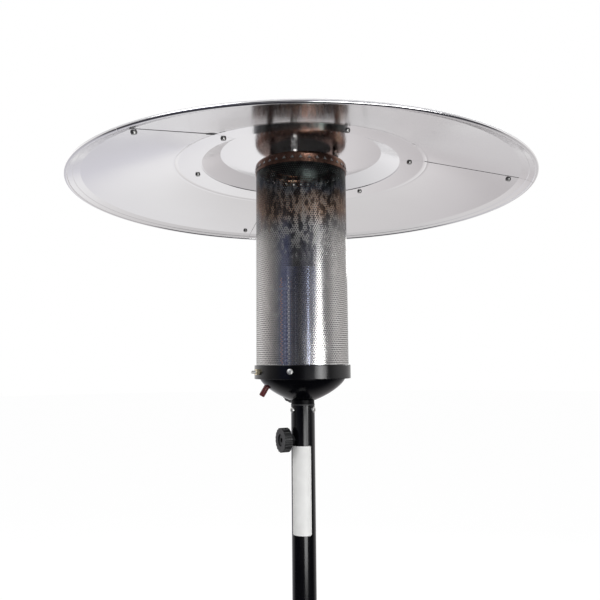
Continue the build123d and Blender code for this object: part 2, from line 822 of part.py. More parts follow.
# Top ring of the screen, a pressed cap with a row of triangular vents
ring_inner = screen_radius + seat_gap
ring_outer = ring_inner + top_ring_wall
with BuildPart() as screen_top_ring:
    with BuildSketch(Plane.XY.offset(screen_top - top_ring_lap)):
        Circle(ring_outer)
    extrude(amount=top_ring_height + top_ring_lap)
    fillet(screen_top_ring.edges().group_by(Axis.Z)[-1], top_ring_fillet)
    offset(amount=-top_ring_wall, openings=screen_top_ring.faces().sort_by(Axis.Z)[0])
    with BuildSketch(Plane.XY.offset(top_ring_top)):
        Circle(top_ring_mouth)
        with PolarLocations(stud_circle, stud_count, stud_azimuth - 90):
            Circle(stud_radius + hole_gap / 2)
    extrude(amount=-2 * top_ring_wall, mode=Mode.SUBTRACT)
    for vent in range(vent_count):
        with BuildSketch(facing_plane(vent * 360 / vent_count, ring_inner - top_ring_wall, screen_top + 2)):
            with BuildLine():
                Polyline((-vent_width / 2, 0), (vent_width / 2, 0), (0, vent_height), close=True)
            make_face()
        extrude(amount=4 * top_ring_wall, mode=Mode.SUBTRACT)
save(screen_top_ring, "screen_top_ring")

# Studs that carry the reflector, with their nuts
with BuildPart() as reflector_studs:
    with BuildSketch(Plane.XY.offset(top_ring_top - top_ring_wall - stud_nut_height)):
        with PolarLocations(stud_circle, stud_count, stud_azimuth - 90):
            Circle(stud_radius)
    extrude(amount=disc_bottom - top_ring_top + top_ring_wall + stud_nut_height + stud_top)
save(reflector_studs, "reflector_studs")
nut_levels = [top_ring_top - top_ring_wall - stud_nut_height]
nut_levels += [top_ring_top + level * stud_nut_height for level in range(spacer_nuts)]
with BuildPart() as stud_nuts:
    for number, level in enumerate(nut_levels):
        below = seat_gap / 2
        with BuildSketch(Plane.XY.offset(level + below)):
            with PolarLocations(stud_circle, stud_count, stud_azimuth - 90 + 17 * number):
                hexagon(stud_nut_flats)
                Circle(stud_radius + running_gap / 2, mode=Mode.SUBTRACT)
        extrude(amount=stud_nut_height - 2 * below)
save(stud_nuts, "stud_nuts")

# Centre pan of the reflector
flange_slope = mouth_rise / (flange_radius - mouth_radius)


def flange_height(radius):
    """Underside of the panels' flat inner flange at a radius."""
    return flange_z + (flange_radius - radius) * flange_slope


cone_slope = flange_rise / (band_radius - flange_radius)
pan_bolt_seats = [
    sheet_plane(
        seam_azimuths[0] + number * 360 / pan_bolt_count,
        pan_bolt_circle,
        flange_height(pan_bolt_circle),
        flange_slope,
        1,
    )
    for number in range(pan_bolt_count)
]
rim_screw_height = band_z + (band_radius - rim_screw_circle) * cone_slope
rim_screw_seats = [
    sheet_plane(azimuth, rim_screw_circle, rim_screw_height, cone_slope, 1) for azimuth in seam_azimuths
]
pan_neck = mouth_radius - 2
pan_line = [
    (0, disc_bottom),
    (disc_radius, disc_bottom),
    (pan_neck, flange_height(pan_neck) + pan_offset),
    (pan_flange_radius, flange_height(pan_flange_radius) + pan_offset),
]
with BuildPart() as centre_pan:
    with BuildSketch(Plane.XZ):
        with BuildLine():
            Polyline(*sheet_outline(pan_line, reflector_sheet), close=True)
        make_face()
    revolve(axis=Axis.Z)
    with BuildSketch(Plane.XY.offset(disc_bottom)):
        with PolarLocations(stud_circle, stud_count, stud_azimuth - 90):
            Circle(stud_radius + hole_gap / 2)
    extrude(amount=reflector_sheet, mode=Mode.SUBTRACT)
    for seat in pan_bolt_seats:
        with BuildSketch(seat):
            Circle(bolt_radius + hole_gap)
        extrude(amount=4 * pan_offset, both=True, mode=Mode.SUBTRACT)
save(centre_pan, "centre_pan")

# Reflector panels: rolled rim, hem, cone and flat inner flange, joggled over the next one
rim_slope = band_rise / (rim_radius - band_radius)
hem_z = rim_z + (rim_radius - hem_radius) * rim_slope
sheet_start = rim_radius - 1.5 * rim_bead_radius
rim_line = [
    (sheet_start, rim_z + (rim_radius - sheet_start) * rim_slope),
    (hem_radius, hem_z),
    (hem_radius - hem_step, hem_z + hem_step),
    (band_radius, band_z),
]
panel_line = rim_line + [(flange_radius, flange_z), (mouth_radius, mouth_z)]
tab_rim = (sheet_start - 2 * rim_bead_radius, rim_z + (rim_radius - sheet_start + 2 * rim_bead_radius) * rim_slope)
tab_end_radius = pan_flange_radius + 2 * seat_gap
tab_line = [
    tab_rim,
    *rim_line[1:],
    (flange_radius, flange_z),
    (tab_end_radius, flange_height(tab_end_radius)),
]
tab_line = [(radius, height + pan_offset) for radius, height in tab_line]
joggle_line = [(radius, height - pan_offset) for radius, height in tab_line]
seam_lines = (
    seam_azimuths[0] + seam_line_offset,
    seam_azimuths[1] - seam_line_offset,
    seam_azimuths[2] - seam_line_offset,
)
half_seam = degrees(rest_gap / 2 / mouth_radius)
panel_spans = (
    (seam_lines[0], seam_lines[1], True, True),
    (seam_lines[1], seam_lines[2], False, True),
    (seam_lines[2], seam_lines[0] + 360, False, False),
)
for index, (start, end, start_tab, end_tab) in enumerate(panel_spans):
    tabs = []
    if start_tab:
        tabs.append((start + half_seam, start + seam_joggle, joggle_line, pan_offset + reflector_sheet))
        tabs.append((start - seam_tab, start + seam_joggle, tab_line, reflector_sheet))
    if end_tab:
        tabs.append((end - seam_joggle, end - half_seam, joggle_line, pan_offset + reflector_sheet))
        tabs.append((end - seam_joggle, end + seam_tab, tab_line, reflector_sheet))
    with BuildPart() as reflector_panel:
        with BuildSketch(radial_plane(start + half_seam)):
            with BuildLine():
                Polyline(*sheet_outline(panel_line, reflector_sheet), close=True)
            make_face()
            with Locations((rim_radius - rim_bead_radius, rim_z + rim_bead_radius)):
                Circle(rim_bead_radius)
        revolve(axis=Axis.Z, revolution_arc=end - start - 2 * half_seam)
        for first, last, line, thickness in tabs:
            with BuildSketch(radial_plane(first)):
                with BuildLine():
                    Polyline(*sheet_outline(line, thickness), close=True)
                make_face()
            revolve(axis=Axis.Z, revolution_arc=last - first)
        for seat in pan_bolt_seats + rim_screw_seats:
            with BuildSketch(seat):
                Circle(bolt_radius + hole_gap)
            extrude(amount=4 * pan_offset, both=True, mode=Mode.SUBTRACT)
    save(reflector_panel, f"reflector_panel_{index + 1}")

# Screws of the seams near the rim, and bolts through the inner flange and the pan
nut_seat = pan_offset + reflector_sheet + seat_gap
for label, seats in (("seam_screws", rim_screw_seats), ("pan_bolts", pan_bolt_seats)):
    with BuildPart() as screws:
        for seat in seats:
            with BuildSketch(seat.offset(-seat_gap)):
                Circle(bolt_head_radius)
            extrude(amount=-bolt_head_height, taper=15)
            with BuildSketch(seat.offset(-seat_gap)):
                Circle(bolt_radius)
            extrude(amount=nut_seat + nut_height + 2)
            with BuildSketch(seat.offset(nut_seat)):
                hexagon(nut_flats)
            extrude(amount=nut_height)
    save(screws, label)

# Wing-free dome nuts over the reflector disc
with BuildPart() as dome_nuts:
    for number in range(stud_count):
        foot = polar(stud_circle, stud_azimuth + number * 360 / stud_count)
        level = disc_bottom + reflector_sheet + seat_gap
        with BuildSketch(Plane(origin=foot + Vector(0, 0, level))):
            hexagon(stud_nut_flats)
        extrude(amount=stud_nut_height)
        with BuildSketch(Plane(origin=foot + Vector(0, 0, level + stud_nut_height))):
            Circle(stud_nut_flats / 2 - 0.3)
        extrude(amount=stud_top - stud_nut_height + 2, taper=25)
        with BuildSketch(Plane(origin=foot + Vector(0, 0, disc_bottom))):
            Circle(stud_radius + running_gap / 2)
        extrude(amount=stud_top + seat_gap, mode=Mode.SUBTRACT)
save(dome_nuts, "dome_nuts")

# Cylinder housing: a rolled shell with a vent row, open below
housing_bottom = pan_top + rest_gap
shell_top = housing_bottom + housing_height
with BuildPart() as housing_shell:
    with BuildSketch(Plane.XY.offset(housing_bottom)):
        Circle(housing_radius)
        Circle(housing_radius - housing_wall, mode=Mode.SUBTRACT)
    extrude(amount=housing_height)
    for vent in range(housing_vent_count):
        azimuth = (vent + 0.5) * 360 / housing_vent_count
        height = housing_bottom + housing_vent_base + housing_vent_height / 2
        with BuildSketch(facing_plane(azimuth, housing_radius - 3 * housing_wall, height)):
            SlotOverall(housing_vent_height, housing_vent_width, rotation=90)
        extrude(amount=6 * housing_wall, mode=Mode.SUBTRACT)
save(housing_shell, "housing_shell")

# Domed top of the housing, its skirt inside the shell
dome_outer = housing_radius - housing_wall - seat_gap
bush_hole = mast_radius + rest_gap + housing_bush_width - 4
with BuildPart() as housing_dome:
    with BuildSketch(Plane.XZ):
        with BuildLine():
            upper = EllipticalCenterArc(
                (0, shell_top), dome_outer, housing_dome_height, start_angle=0, arc_size=90
            )
            Line(upper @ 1, (0, shell_top))
            Line((0, shell_top), upper @ 0)
        make_face()
        with BuildLine():
            lower = EllipticalCenterArc(
                (0, shell_top),
                dome_outer - housing_wall,
                housing_dome_height - housing_wall,
                start_angle=0,
                arc_size=90,
            )
            Line(lower @ 1, (0, shell_top))
            Line((0, shell_top), lower @ 0)
        make_face(mode=Mode.SUBTRACT)
        with Locations((dome_outer - housing_wall / 2, shell_top - housing_lip / 2)):
            Rectangle(housing_wall, housing_lip)
        with Locations((0, shell_top + housing_dome_height / 2)):
            Rectangle(2 * bush_hole, 2 * housing_dome_height, mode=Mode.SUBTRACT)
    revolve(axis=Axis.Z)
save(housing_dome, "housing_dome")

# Bush that runs on the mast when the housing is lifted
bush_outer = mast_radius + rest_gap + housing_bush_width
dome_mouth = shell_top + housing_dome_height * sqrt(1 - (bush_hole / dome_outer) ** 2)
with BuildPart() as housing_bush:
    with BuildSketch(Plane.XY.offset(dome_mouth + seat_gap)):
        Circle(bush_outer)
    extrude(amount=housing_bush_height - seat_gap)
    fillet(housing_bush.edges().group_by(Axis.Z)[-1], 3)
    with BuildSketch(Plane.XY.offset(dome_mouth + seat_gap)):
        Circle(bush_hole - seat_gap)
    extrude(amount=-2 * housing_wall)
    with BuildSketch(Plane.XY.offset(dome_mouth - 3 * housing_wall)):
        Circle(mast_radius + rest_gap)
    extrude(amount=housing_bush_height + 4 * housing_wall, mode=Mode.SUBTRACT)
save(housing_bush, "housing_bush")

# Rivets between the shell and the skirt of the dome
with BuildPart() as housing_rivets:
    for number in range(rivet_count):
        azimuth = (number + 0.5) * 360 / rivet_count
        with BuildSketch(facing_plane(azimuth, housing_radius + seat_gap, shell_top - housing_lip / 2)):
            Circle(rivet_radius)
        extrude(amount=1.2, taper=30)
save(housing_rivets, "housing_rivets")

# Wheel bracket bolted on the rear of the pan
axle_y = base_radius + axle_offset
axle_z = wheel_radius + wheel_floor_gap
bracket_root = housing_radius + 4 * rest_gap + 5
with BuildPart() as wheel_bracket:
    with BuildSketch(Plane.YZ):
        with Locations(((bracket_root + axle_y) / 2, pan_top + rest_gap + bracket_height / 2)):
            Rectangle(axle_y - bracket_root, bracket_height)
        with Locations((axle_y, axle_z)):
            Circle(bracket_height / 2)
    extrude(amount=bracket_half_width, both=True)
    with BuildSketch(Plane.YZ):
        with Locations(((bracket_root + axle_y) / 2, pan_top + rest_gap + bracket_wall + bracket_height)):
            Rectangle(2 * axle_y, 2 * bracket_height)
    extrude(amount=bracket_half_width - bracket_wall, both=True, mode=Mode.SUBTRACT)
    with BuildSketch(Plane.YZ):
        with Locations((axle_y, axle_z)):
            Circle(wheel_axle_radius + running_gap)
    extrude(amount=2 * bracket_half_width, both=True, mode=Mode.SUBTRACT)
    with BuildSketch():
        Circle(bracket_root)
    extrude(amount=2 * base_radius, mode=Mode.SUBTRACT)
save(wheel_bracket, "wheel_bracket")

# Axle with a cap nut at each end
wheel_inner = bracket_half_width + 2 * rest_gap
axle_half = wheel_inner + wheel_width + rest_gap
with BuildPart() as wheel_axle:
    with BuildSketch(Plane.YZ):
        with Locations((axle_y, axle_z)):
            Circle(wheel_axle_radius)
    extrude(amount=axle_half, both=True)
save(wheel_axle, "wheel_axle")
with BuildPart() as axle_caps:
    for side in (1, -1):
        with BuildSketch(Plane.YZ.offset(side * axle_half)):
            with Locations((axle_y, axle_z)):
                Circle(axle_cap_radius)
        extrude(amount=side * axle_cap_height, taper=20)
save(axle_caps, "axle_caps")

# Wheels: a spoked hub and a rubber tyre each
tyre_bore = wheel_radius - tyre_thickness
for side, name in ((1, "right"), (-1, "left")):
    hub_middle = side * (wheel_inner + wheel_width / 2)
    with BuildPart() as wheel_hub:
        with BuildSketch(Plane.YZ.offset(hub_middle)):
            with Locations((axle_y, axle_z)):
                Circle(tyre_bore)
                Circle(tyre_bore - 4, mode=Mode.SUBTRACT)
                Circle(wheel_hub_radius)
                with PolarLocations(tyre_bore / 2, wheel_spokes):
                    Rectangle(tyre_bore - 2, 6)
                Circle(wheel_axle_radius + running_gap, mode=Mode.SUBTRACT)
        extrude(amount=wheel_width / 2 - 2, both=True)
    save(wheel_hub, f"wheel_hub_{name}")
    with BuildPart() as wheel_tyre:
        with BuildSketch(Plane.YZ.offset(hub_middle)):
            with Locations((axle_y, axle_z)):
                Circle(wheel_radius)
                Circle(tyre_bore + seat_gap / 2, mode=Mode.SUBTRACT)
        extrude(amount=wheel_width / 2, both=True)
        fillet(wheel_tyre.edges().filter_by(lambda edge: edge.geom_type == GeomType.CIRCLE
                                            and edge.radius > wheel_radius - 1), 4)
    save(wheel_tyre, f"wheel_tyre_{name}")
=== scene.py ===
"""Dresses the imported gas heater: finishes, perforated screen, sticker, small hardware and a studio."""

import json
import math

import bpy
import numpy as np
from bpy.props import FloatProperty, FloatVectorProperty, PointerProperty
from bpy.types import Operator, Panel, PropertyGroup
from mathutils import Matrix, Vector
from mathutils.bvhtree import BVHTree


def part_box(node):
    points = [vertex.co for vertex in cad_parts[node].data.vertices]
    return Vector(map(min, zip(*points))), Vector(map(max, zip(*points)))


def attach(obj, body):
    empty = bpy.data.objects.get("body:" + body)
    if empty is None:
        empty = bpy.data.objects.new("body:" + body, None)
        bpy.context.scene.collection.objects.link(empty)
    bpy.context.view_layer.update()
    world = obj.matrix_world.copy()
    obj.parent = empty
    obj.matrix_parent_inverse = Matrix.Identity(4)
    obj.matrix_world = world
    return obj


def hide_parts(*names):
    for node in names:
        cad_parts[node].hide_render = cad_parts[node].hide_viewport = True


bl_info = {
    "name": "Gas heater dressing",
    "version": (1, 0, 0),
    "blender": (4, 5, 0),
    "location": "3D View > Sidebar > Heater",
    "description": "Finishes and fine pieces of a reflector gas heater",
    "category": "Object",
}

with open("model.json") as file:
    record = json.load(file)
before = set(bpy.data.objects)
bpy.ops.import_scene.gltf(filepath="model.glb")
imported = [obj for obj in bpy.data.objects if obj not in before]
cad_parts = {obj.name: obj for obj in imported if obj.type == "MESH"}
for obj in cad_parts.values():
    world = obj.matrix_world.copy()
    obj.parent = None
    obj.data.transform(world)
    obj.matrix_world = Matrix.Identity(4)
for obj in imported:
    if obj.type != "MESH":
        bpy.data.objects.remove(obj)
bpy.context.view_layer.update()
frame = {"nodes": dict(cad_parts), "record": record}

# Places taken from the frame, in metres
MAST_RADIUS = 0.021
screen_low, screen_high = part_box("burner_screen")
collar_low, collar_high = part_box("collar")
MAST_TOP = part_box("mast_tube")[1].z
COLLAR_TOP = collar_high.z
SCREEN_RADIUS = screen_high.x
SCREEN_TOP = screen_high.z

STUD_CIRCLE = 0.07
STUD_AZIMUTHS = (-9.0, 111.0, 231.0)

# Pressed relief of the reflector: start of the hem, and the bead round the centre
HEM_RADIUS = 0.381
BEAD_RADIUS = 0.2275
BEAD_WIDTH = 0.0045

# Triangular vents of the screen's top ring
VENT_COUNT = 36
VENT_BASE = 0.002
VENT_HEIGHT = 0.006
VENT_WIDTH = 0.007

# Wall of the centre pan: where it starts and how wide it is
WALL_RADIUS = 0.147
WALL_WIDTH = 0.033

# Bowl under the collar: its depth, the roundness of its flanks and the neck's radius
BOWL_DEPTH = 0.0445
BOWL_POWER = 1.42
BOWL_NECK = 0.0245
BOWL_SHEET = 0.0012

# Igniter button: dip, half thickness, length, and its tip's place under the collar
IGNITER_DIP = math.radians(60)
IGNITER_RADIUS = 0.0051
IGNITER_LENGTH = 0.02
IGNITER_OUT = 0.0732
IGNITER_DROP = 0.0305

# Nuts of the reflector's studs: half width over corners, height, and levels over the top ring
NUT_CORNER = 0.0061
NUT_HEIGHT = 0.0049
NUT_CHAMFER = 0.0008
NUT_LEVELS = (-0.006, 0.0, 0.005, 0.01)

# Azimuths of the screws of the collar and of the mast's bush, in degrees
COLLAR_SCREWS = (-14, 106, 226)
BUSH_SCREWS = (-60, 60, 180)

# Seams run between these radii, seen from a level under the reflector
SEAM_INNER = 0.2235
SEAM_OUTER = 0.381
SEAM_VIEW = 1.68

# Angle from which an edge is shaded sharp
SHARP_ANGLE = math.radians(30)

# Viewpoint of the photograph, about the top of the collar
PICTURE_SIDE = 600
FOCAL_PIXELS = 605.3
EYE_DISTANCE = 1.0855
EYE_RISE = 0.0054
EYE_YAW = -0.0032
EYE_PITCH = 0.1017
EYE_ROLL = -0.0085
SENSOR = 36.0

# Brightness round the studio, by degrees from the camera's side, turning right
STUDIO_RING = (
    (-180, (0.85, 0.85, 0.85)), (-125, (1.3, 1.28, 1.28)), (-97, (0.85, 0.82, 0.81)),
    (-80, (0.5, 0.48, 0.48)), (-64, (0.25, 0.25, 0.26)), (-50, (0.13, 0.15, 0.28)),
    (-34, (0.09, 0.11, 0.25)), (-26, (0.0, 0.0, 0.004)), (-3, (0.0, 0.0, 0.004)),
    (4, (0.015, 0.02, 0.07)), (15, (0.015, 0.02, 0.05)), (30, (0.12, 0.13, 0.2)),
    (56, (0.3, 0.3, 0.32)), (70, (0.5, 0.49, 0.49)), (86, (1.15, 1.13, 1.13)),
    (104, (1.05, 1.03, 1.02)), (130, (0.9, 0.88, 0.87)), (180, (0.85, 0.85, 0.85)),
)

# Brightness of the floor behind the heater, by metres to the right
STUDIO_FLOOR = (
    (-2.6, (0.68, 0.67, 0.71)), (-1.5, (0.73, 0.72, 0.78)), (-1.0, (0.93, 0.92, 0.94)),
    (-0.4, (1.0, 0.99, 1.0)), (0.0, (0.92, 0.9, 0.9)), (0.5, (0.78, 0.75, 0.76)),
    (1.0, (0.6, 0.57, 0.58)), (1.5, (0.68, 0.66, 0.67)), (2.6, (0.7, 0.68, 0.69)),
)

# The same, by metres behind the heater
STUDIO_DEPTH = (
    (-7.0, 0.0), (-6.4, 0.05), (-5.9, 0.8), (-4.6, 0.8), (-4.2, 0.0), (-0.3, 0.0), (0.4, 0.08), (0.7, 0.42),
    (1.1, 0.7), (2.2, 0.84), (5.0, 1.0),
)

# Dark strips of painted shadow along the panels' seams: azimuth in degrees, inner and outer width
SEAM_SHADOW_STRIPS = ((-36.0, 0.0095, 0.0009), (79.0, 0.0014, 0.0009), (199.0, 0.001, 0.0006))


class Sizes(PropertyGroup):
    """Sizes of the pieces made here."""

    hole_pitch: FloatProperty(
        name="Hole pitch", description="Distance between neighbouring holes of the screen",
        default=0.0041, min=0.002, max=0.01, unit="LENGTH")
    hole_radius: FloatProperty(
        name="Hole radius", description="Radius of one hole of the screen",
        default=0.00152, min=0.0005, max=0.004, unit="LENGTH")
    screen_sheet: FloatProperty(
        name="Screen sheet", description="Thickness of the perforated sheet",
        default=0.0006, min=0.0002, max=0.002, unit="LENGTH")
    sticker_height: FloatProperty(
        name="Sticker height", description="Height of the blank sticker on the mast",
        default=0.15, min=0.02, max=0.4, unit="LENGTH")
    sticker_drop: FloatProperty(
        name="Sticker drop", description="Top of the sticker below the mast's end",
        default=0.0695, min=0.0, max=0.3, unit="LENGTH")
    sticker_from: FloatProperty(
        name="Sticker start", description="Azimuth of the sticker's left edge",
        default=math.radians(-62), subtype="ANGLE")
    sticker_to: FloatProperty(
        name="Sticker end", description="Azimuth of the sticker's right edge",
        default=math.radians(39), subtype="ANGLE")


class Colours(PropertyGroup):
    """Colours of the finishes, as linear values."""

    aluminium: FloatVectorProperty(
        name="Aluminium", description="Polished reflector sheet", subtype="COLOR",
        default=(0.83, 0.825, 0.83))
    steel: FloatVectorProperty(
        name="Steel", description="Clean stainless sheet", subtype="COLOR", default=(0.62, 0.61, 0.6))
    straw: FloatVectorProperty(
        name="Straw tint", description="Steel where heat has browned it", subtype="COLOR",
        default=(0.34, 0.225, 0.16))
    blued: FloatVectorProperty(
        name="Blue tint", description="Steel where heat has blued it", subtype="COLOR",
        default=(0.07, 0.085, 0.125))
    soot: FloatVectorProperty(
        name="Soot", description="Sooty steel", subtype="COLOR", default=(0.035, 0.037, 0.04))
    copper_tint: FloatVectorProperty(
        name="Copper tint", description="Top ring of the screen", subtype="COLOR", default=(0.2, 0.11, 0.08))
    enamel: FloatVectorProperty(
        name="Enamel", description="Black enamel and paint", subtype="COLOR",
        default=(0.0008, 0.0008, 0.0012))
    zinc: FloatVectorProperty(
        name="Zinc", description="Bright plated fasteners", subtype="COLOR", default=(0.72, 0.72, 0.7))
    brass: FloatVectorProperty(
        name="Brass", description="Turned brass", subtype="COLOR", default=(0.93, 0.83, 0.6))
    button: FloatVectorProperty(
        name="Button", description="Igniter button", subtype="COLOR", default=(0.07, 0.009, 0.01))
    sticker: FloatVectorProperty(
        name="Sticker", description="Blank sticker", subtype="COLOR", default=(0.68, 0.68, 0.67))


class Socket:
    """A shader value that can be used in an expression."""

    def __init__(self, finish, link):
        self.finish = finish
        self.link = link

    def maths(self, operation, *others):
        """Math node on this value and others."""
        values = {0: self}
        for place, other in enumerate(others):
            values[place + 1] = other
        return self.finish.node("ShaderNodeMath", {"operation": operation}, values)

    def __add__(self, other):
        return self.maths("ADD", other)

    def __sub__(self, other):
        return self.maths("SUBTRACT", other)

    def __mul__(self, other):
        return self.maths("MULTIPLY", other)

    def __rsub__(self, other):
        return self.finish.node("ShaderNodeMath", {"operation": "SUBTRACT"}, {0: other, 1: self})

    __radd__ = __add__
    __rmul__ = __mul__

    def clamp(self):
        """The value held between 0 and 1."""
        return self.finish.node("ShaderNodeMath", {"operation": "ADD", "use_clamp": True}, {0: self, 1: 0.0})


class Finish:
    """A procedural material, or the surroundings, under construction."""

    def __init__(self, name, kind="materials"):
        self.material = getattr(bpy.data, kind).new(name)
        self.material.use_nodes = True
        self.tree = self.material.node_tree
        self.tree.nodes.clear()

    def node(self, kind, settings=None, values=None, output=0):
        """Adds a node, applies its settings, then fills its sockets, and returns an output."""
        made = self.tree.nodes.new(kind)
        for name, value in (settings or {}).items():
            if name == "stops":
                elements = made.color_ramp.elements
                while len(elements) < len(value):
                    elements.new(0.5)
                for element, (place, colour) in zip(elements, value):
                    element.position = place
                    element.color = (*colour, 1.0)
            else:
                setattr(made, name, value)
        for name, value in (values or {}).items():
            if isinstance(value, Socket):
                self.tree.links.new(value.link, made.inputs[name])
            else:
                made.inputs[name].default_value = value
        return Socket(self, made.outputs[output]) if made.outputs else None

    def place(self):
        """Position on the piece, in metres."""
        return self.node("ShaderNodeTexCoord", output="Object")

    def part(self, vector, axis):
        """One coordinate of a vector."""
        return self.node("ShaderNodeSeparateXYZ", values={0: vector}, output=axis)

    def stretched(self, scale):
        """Position with each axis scaled."""
        return self.node(
            "ShaderNodeVectorMath", {"operation": "MULTIPLY"}, {0: self.place(), 1: scale})

    def noise(self, scale, detail=3.0, stretch=(1.0, 1.0, 1.0)):
        """Noise from 0 to 1 at a scale per metre."""
        return self.node("ShaderNodeTexNoise", values={
            "Vector": self.stretched(stretch), "Scale": scale, "Detail": detail}, output=0)

    def mix(self, factor, first, second):
        """Colour between two colours."""
        made = self.tree.nodes.new("ShaderNodeMix")
        made.data_type = "RGBA"
        for name, value in ((0, factor), (6, first), (7, second)):
            if isinstance(value, Socket):
                self.tree.links.new(value.link, made.inputs[name])
            elif name:
                made.inputs[name].default_value = (*tuple(value)[:3], 1.0)
            else:
                made.inputs[name].default_value = value
        return Socket(self, made.outputs[2])

    def ramp(self, factor, *stops):
        """Colour from a ramp of (place, colour) stops."""
        return self.node("ShaderNodeValToRGB", {"stops": stops}, {0: factor}, output=0)

    def bump(self, height, strength, distance):
        """Normal bumped by a height."""
        return self.node("ShaderNodeBump", values={
            "Height": height, "Strength": strength, "Distance": distance})

    def surface(self, **values):
        """Principled surface, then the material's output."""
        named = {name.replace("_", " "): value for name, value in values.items()}
        colour = named.get("Base Color")
        if colour is not None and not isinstance(colour, Socket):
            named["Base Color"] = (*tuple(colour)[:3], 1.0)
        shader = self.node("ShaderNodeBsdfPrincipled", values=named)
        self.node("ShaderNodeOutputMaterial", values={"Surface": shader})
        return self.material


def colours():
    """The user's colours."""
    return bpy.context.scene.heater_colours


def sizes():
    """The user's sizes."""
    return bpy.context.scene.heater_sizes


def shade(colour, factor):
    """A colour made lighter or darker."""
    return tuple(min(1.0, part * factor) for part in tuple(colour)[:3])


def polished_aluminium(name):
    """Rolled and polished sheet with faint cloudy streaks and fingermarks."""
    finish = Finish(name)
    clouds = finish.noise(6.0, 4.0)
    marks = finish.noise(34.0, 5.0)
    waves = finish.noise(9.0, 1.0)
    colour = finish.mix(clouds, shade(colours().aluminium, 0.93), colours().aluminium)
    rough = 0.09 + 0.09 * clouds + 0.04 * marks
    level = finish.stretched((1.0, 1.0, 0.0))
    radius = finish.node("ShaderNodeVectorMath", {"operation": "LENGTH"}, {0: level}, 1)
    hem = (radius - HEM_RADIUS).maths("MAXIMUM", 0.0) * 0.11
    bead = 1 - (radius - BEAD_RADIUS).maths("ABSOLUTE") * (1 / BEAD_WIDTH)
    bead = bead.clamp() * bead.clamp() * 0.0004
    wall = (radius - WALL_RADIUS).maths("MAXIMUM", 0.0).maths("MINIMUM", WALL_WIDTH) * -0.09
    height = hem + bead + wall + waves * 0.0005
    return finish.surface(Base_Color=colour, Metallic=1.0, Roughness=rough,
                          Normal=finish.bump(height, 1.0, 1.0))


def brushed_metal(name, colour, roughness, streak=(1.0, 1.0, 40.0)):
    """Sheet metal with fine streaks and dull patches."""
    finish = Finish(name)
    lines = finish.noise(60.0, 3.0, streak)
    patches = finish.noise(25.0, 3.0)
    tint = finish.mix(patches, shade(colour, 0.8), colour)
    rough = roughness + 0.12 * lines + 0.08 * patches
    return finish.surface(Base_Color=tint, Metallic=1.0, Roughness=rough,
                          Normal=finish.bump(lines, 0.15, 0.0004))


def screen_steel(name):
    """Perforated screen: clean below, straw and blue heat tints above, soot at the top."""
    finish = Finish(name)
    place = finish.place()
    level = (finish.part(place, "Z") - COLLAR_TOP) * (1 / (SCREEN_TOP - COLLAR_TOP))
    front = (finish.part(place, "Y") * (-1 / SCREEN_RADIUS)).clamp()
    flames = finish.noise(16.0, 4.0, (1.0, 1.0, 0.5))
    licks = finish.noise(60.0, 3.0, (1.0, 1.0, 0.25))
    mottle = finish.noise(70.0, 5.0)
    edge = level + 0.22 * flames + 0.12 * licks - 0.22 + 0.06 * front * front
    steel = colours().steel
    soot = finish.mix(((mottle - 0.42) * 4).clamp(), shade(colours().soot, 0.5), (0.1, 0.125, 0.115))
    tint = finish.ramp(
        edge,
        (0.0, shade(steel, 1.0)), (0.66, shade(steel, 0.9)), (0.73, shade(colours().straw, 1.5)),
        (0.79, colours().straw), (0.83, shade(colours().straw, 0.45)), (0.86, colours().blued),
    )
    flecks = finish.noise(150.0, 6.0, (1.0, 1.0, 0.45))
    zone = ((level - 0.45) * 4).clamp() * (0.45 + ((front - 0.5) * 2).clamp()) * ((0.97 - level) * 12).clamp()
    oxide = ((flecks - 0.44) * 4).clamp() * zone
    tint = finish.mix(oxide * 0.55, tint, (0.34, 0.32, 0.3))
    dark = ((0.5 - flecks) * 6).clamp() * zone
    tint = finish.mix(dark * 0.5, tint, (0.06, 0.06, 0.065))
    tint = finish.mix(((edge - 0.84) * 16).clamp(), tint, soot)
    rough = 0.15 + 0.14 * licks + 0.2 * oxide
    return finish.surface(Base_Color=tint, Metallic=0.95 - 0.45 * oxide, Roughness=rough)


def soot_and_shade_steel(name):
    """Steel darkened by the flame; on the screen's inner faces its dark also stands as painted shade."""
    finish = Finish(name)
    clouds = finish.noise(30.0, 4.0)
    tint = finish.mix(clouds, (0.02, 0.02, 0.022), (0.12, 0.115, 0.11))
    return finish.surface(Base_Color=tint, Metallic=0.6, Roughness=0.45 + 0.2 * clouds)


def heat_tinted(name):
    """Copper-brown heat-tinted cap."""
    finish = Finish(name)
    patches = finish.noise(22.0, 4.0)
    specks = finish.noise(140.0, 2.0)
    tint = finish.ramp(
        patches,
        (0.3, shade(colours().copper_tint, 0.4)), (0.5, colours().copper_tint),
        (0.62, shade(colours().copper_tint, 2.0)), (0.75, (0.62, 0.46, 0.3)),
    )
    return finish.surface(Base_Color=tint, Metallic=0.95, Roughness=0.2 + 0.12 * specks,
                          Normal=finish.bump(specks, 0.1, 0.0004))


def black_enamel(name, roughness=0.3, peel=0.05, gloss=0.42):
    """Satin black enamel with a light orange peel and dust."""
    finish = Finish(name)
    skin = finish.noise(900.0, 2.0)
    dust = finish.noise(30.0, 5.0)
    tint = finish.mix(dust, colours().enamel, shade(colours().enamel, 2.2))
    rough = roughness + 0.06 * dust
    return finish.surface(Base_Color=tint, Roughness=rough, Specular_IOR_Level=gloss,
                          Normal=finish.bump(skin, peel, 0.0002))


def moulding(name, colour, roughness):
    """Moulded plastic or rubber with a fine grain."""
    finish = Finish(name)
    grain = finish.noise(1400.0, 2.0)
    wear = finish.noise(45.0, 4.0)
    tint = finish.mix(wear, colour, shade(colour, 1.6))
    return finish.surface(Base_Color=tint, Roughness=roughness + 0.15 * wear,
                          Normal=finish.bump(grain, 0.2, 0.0002))


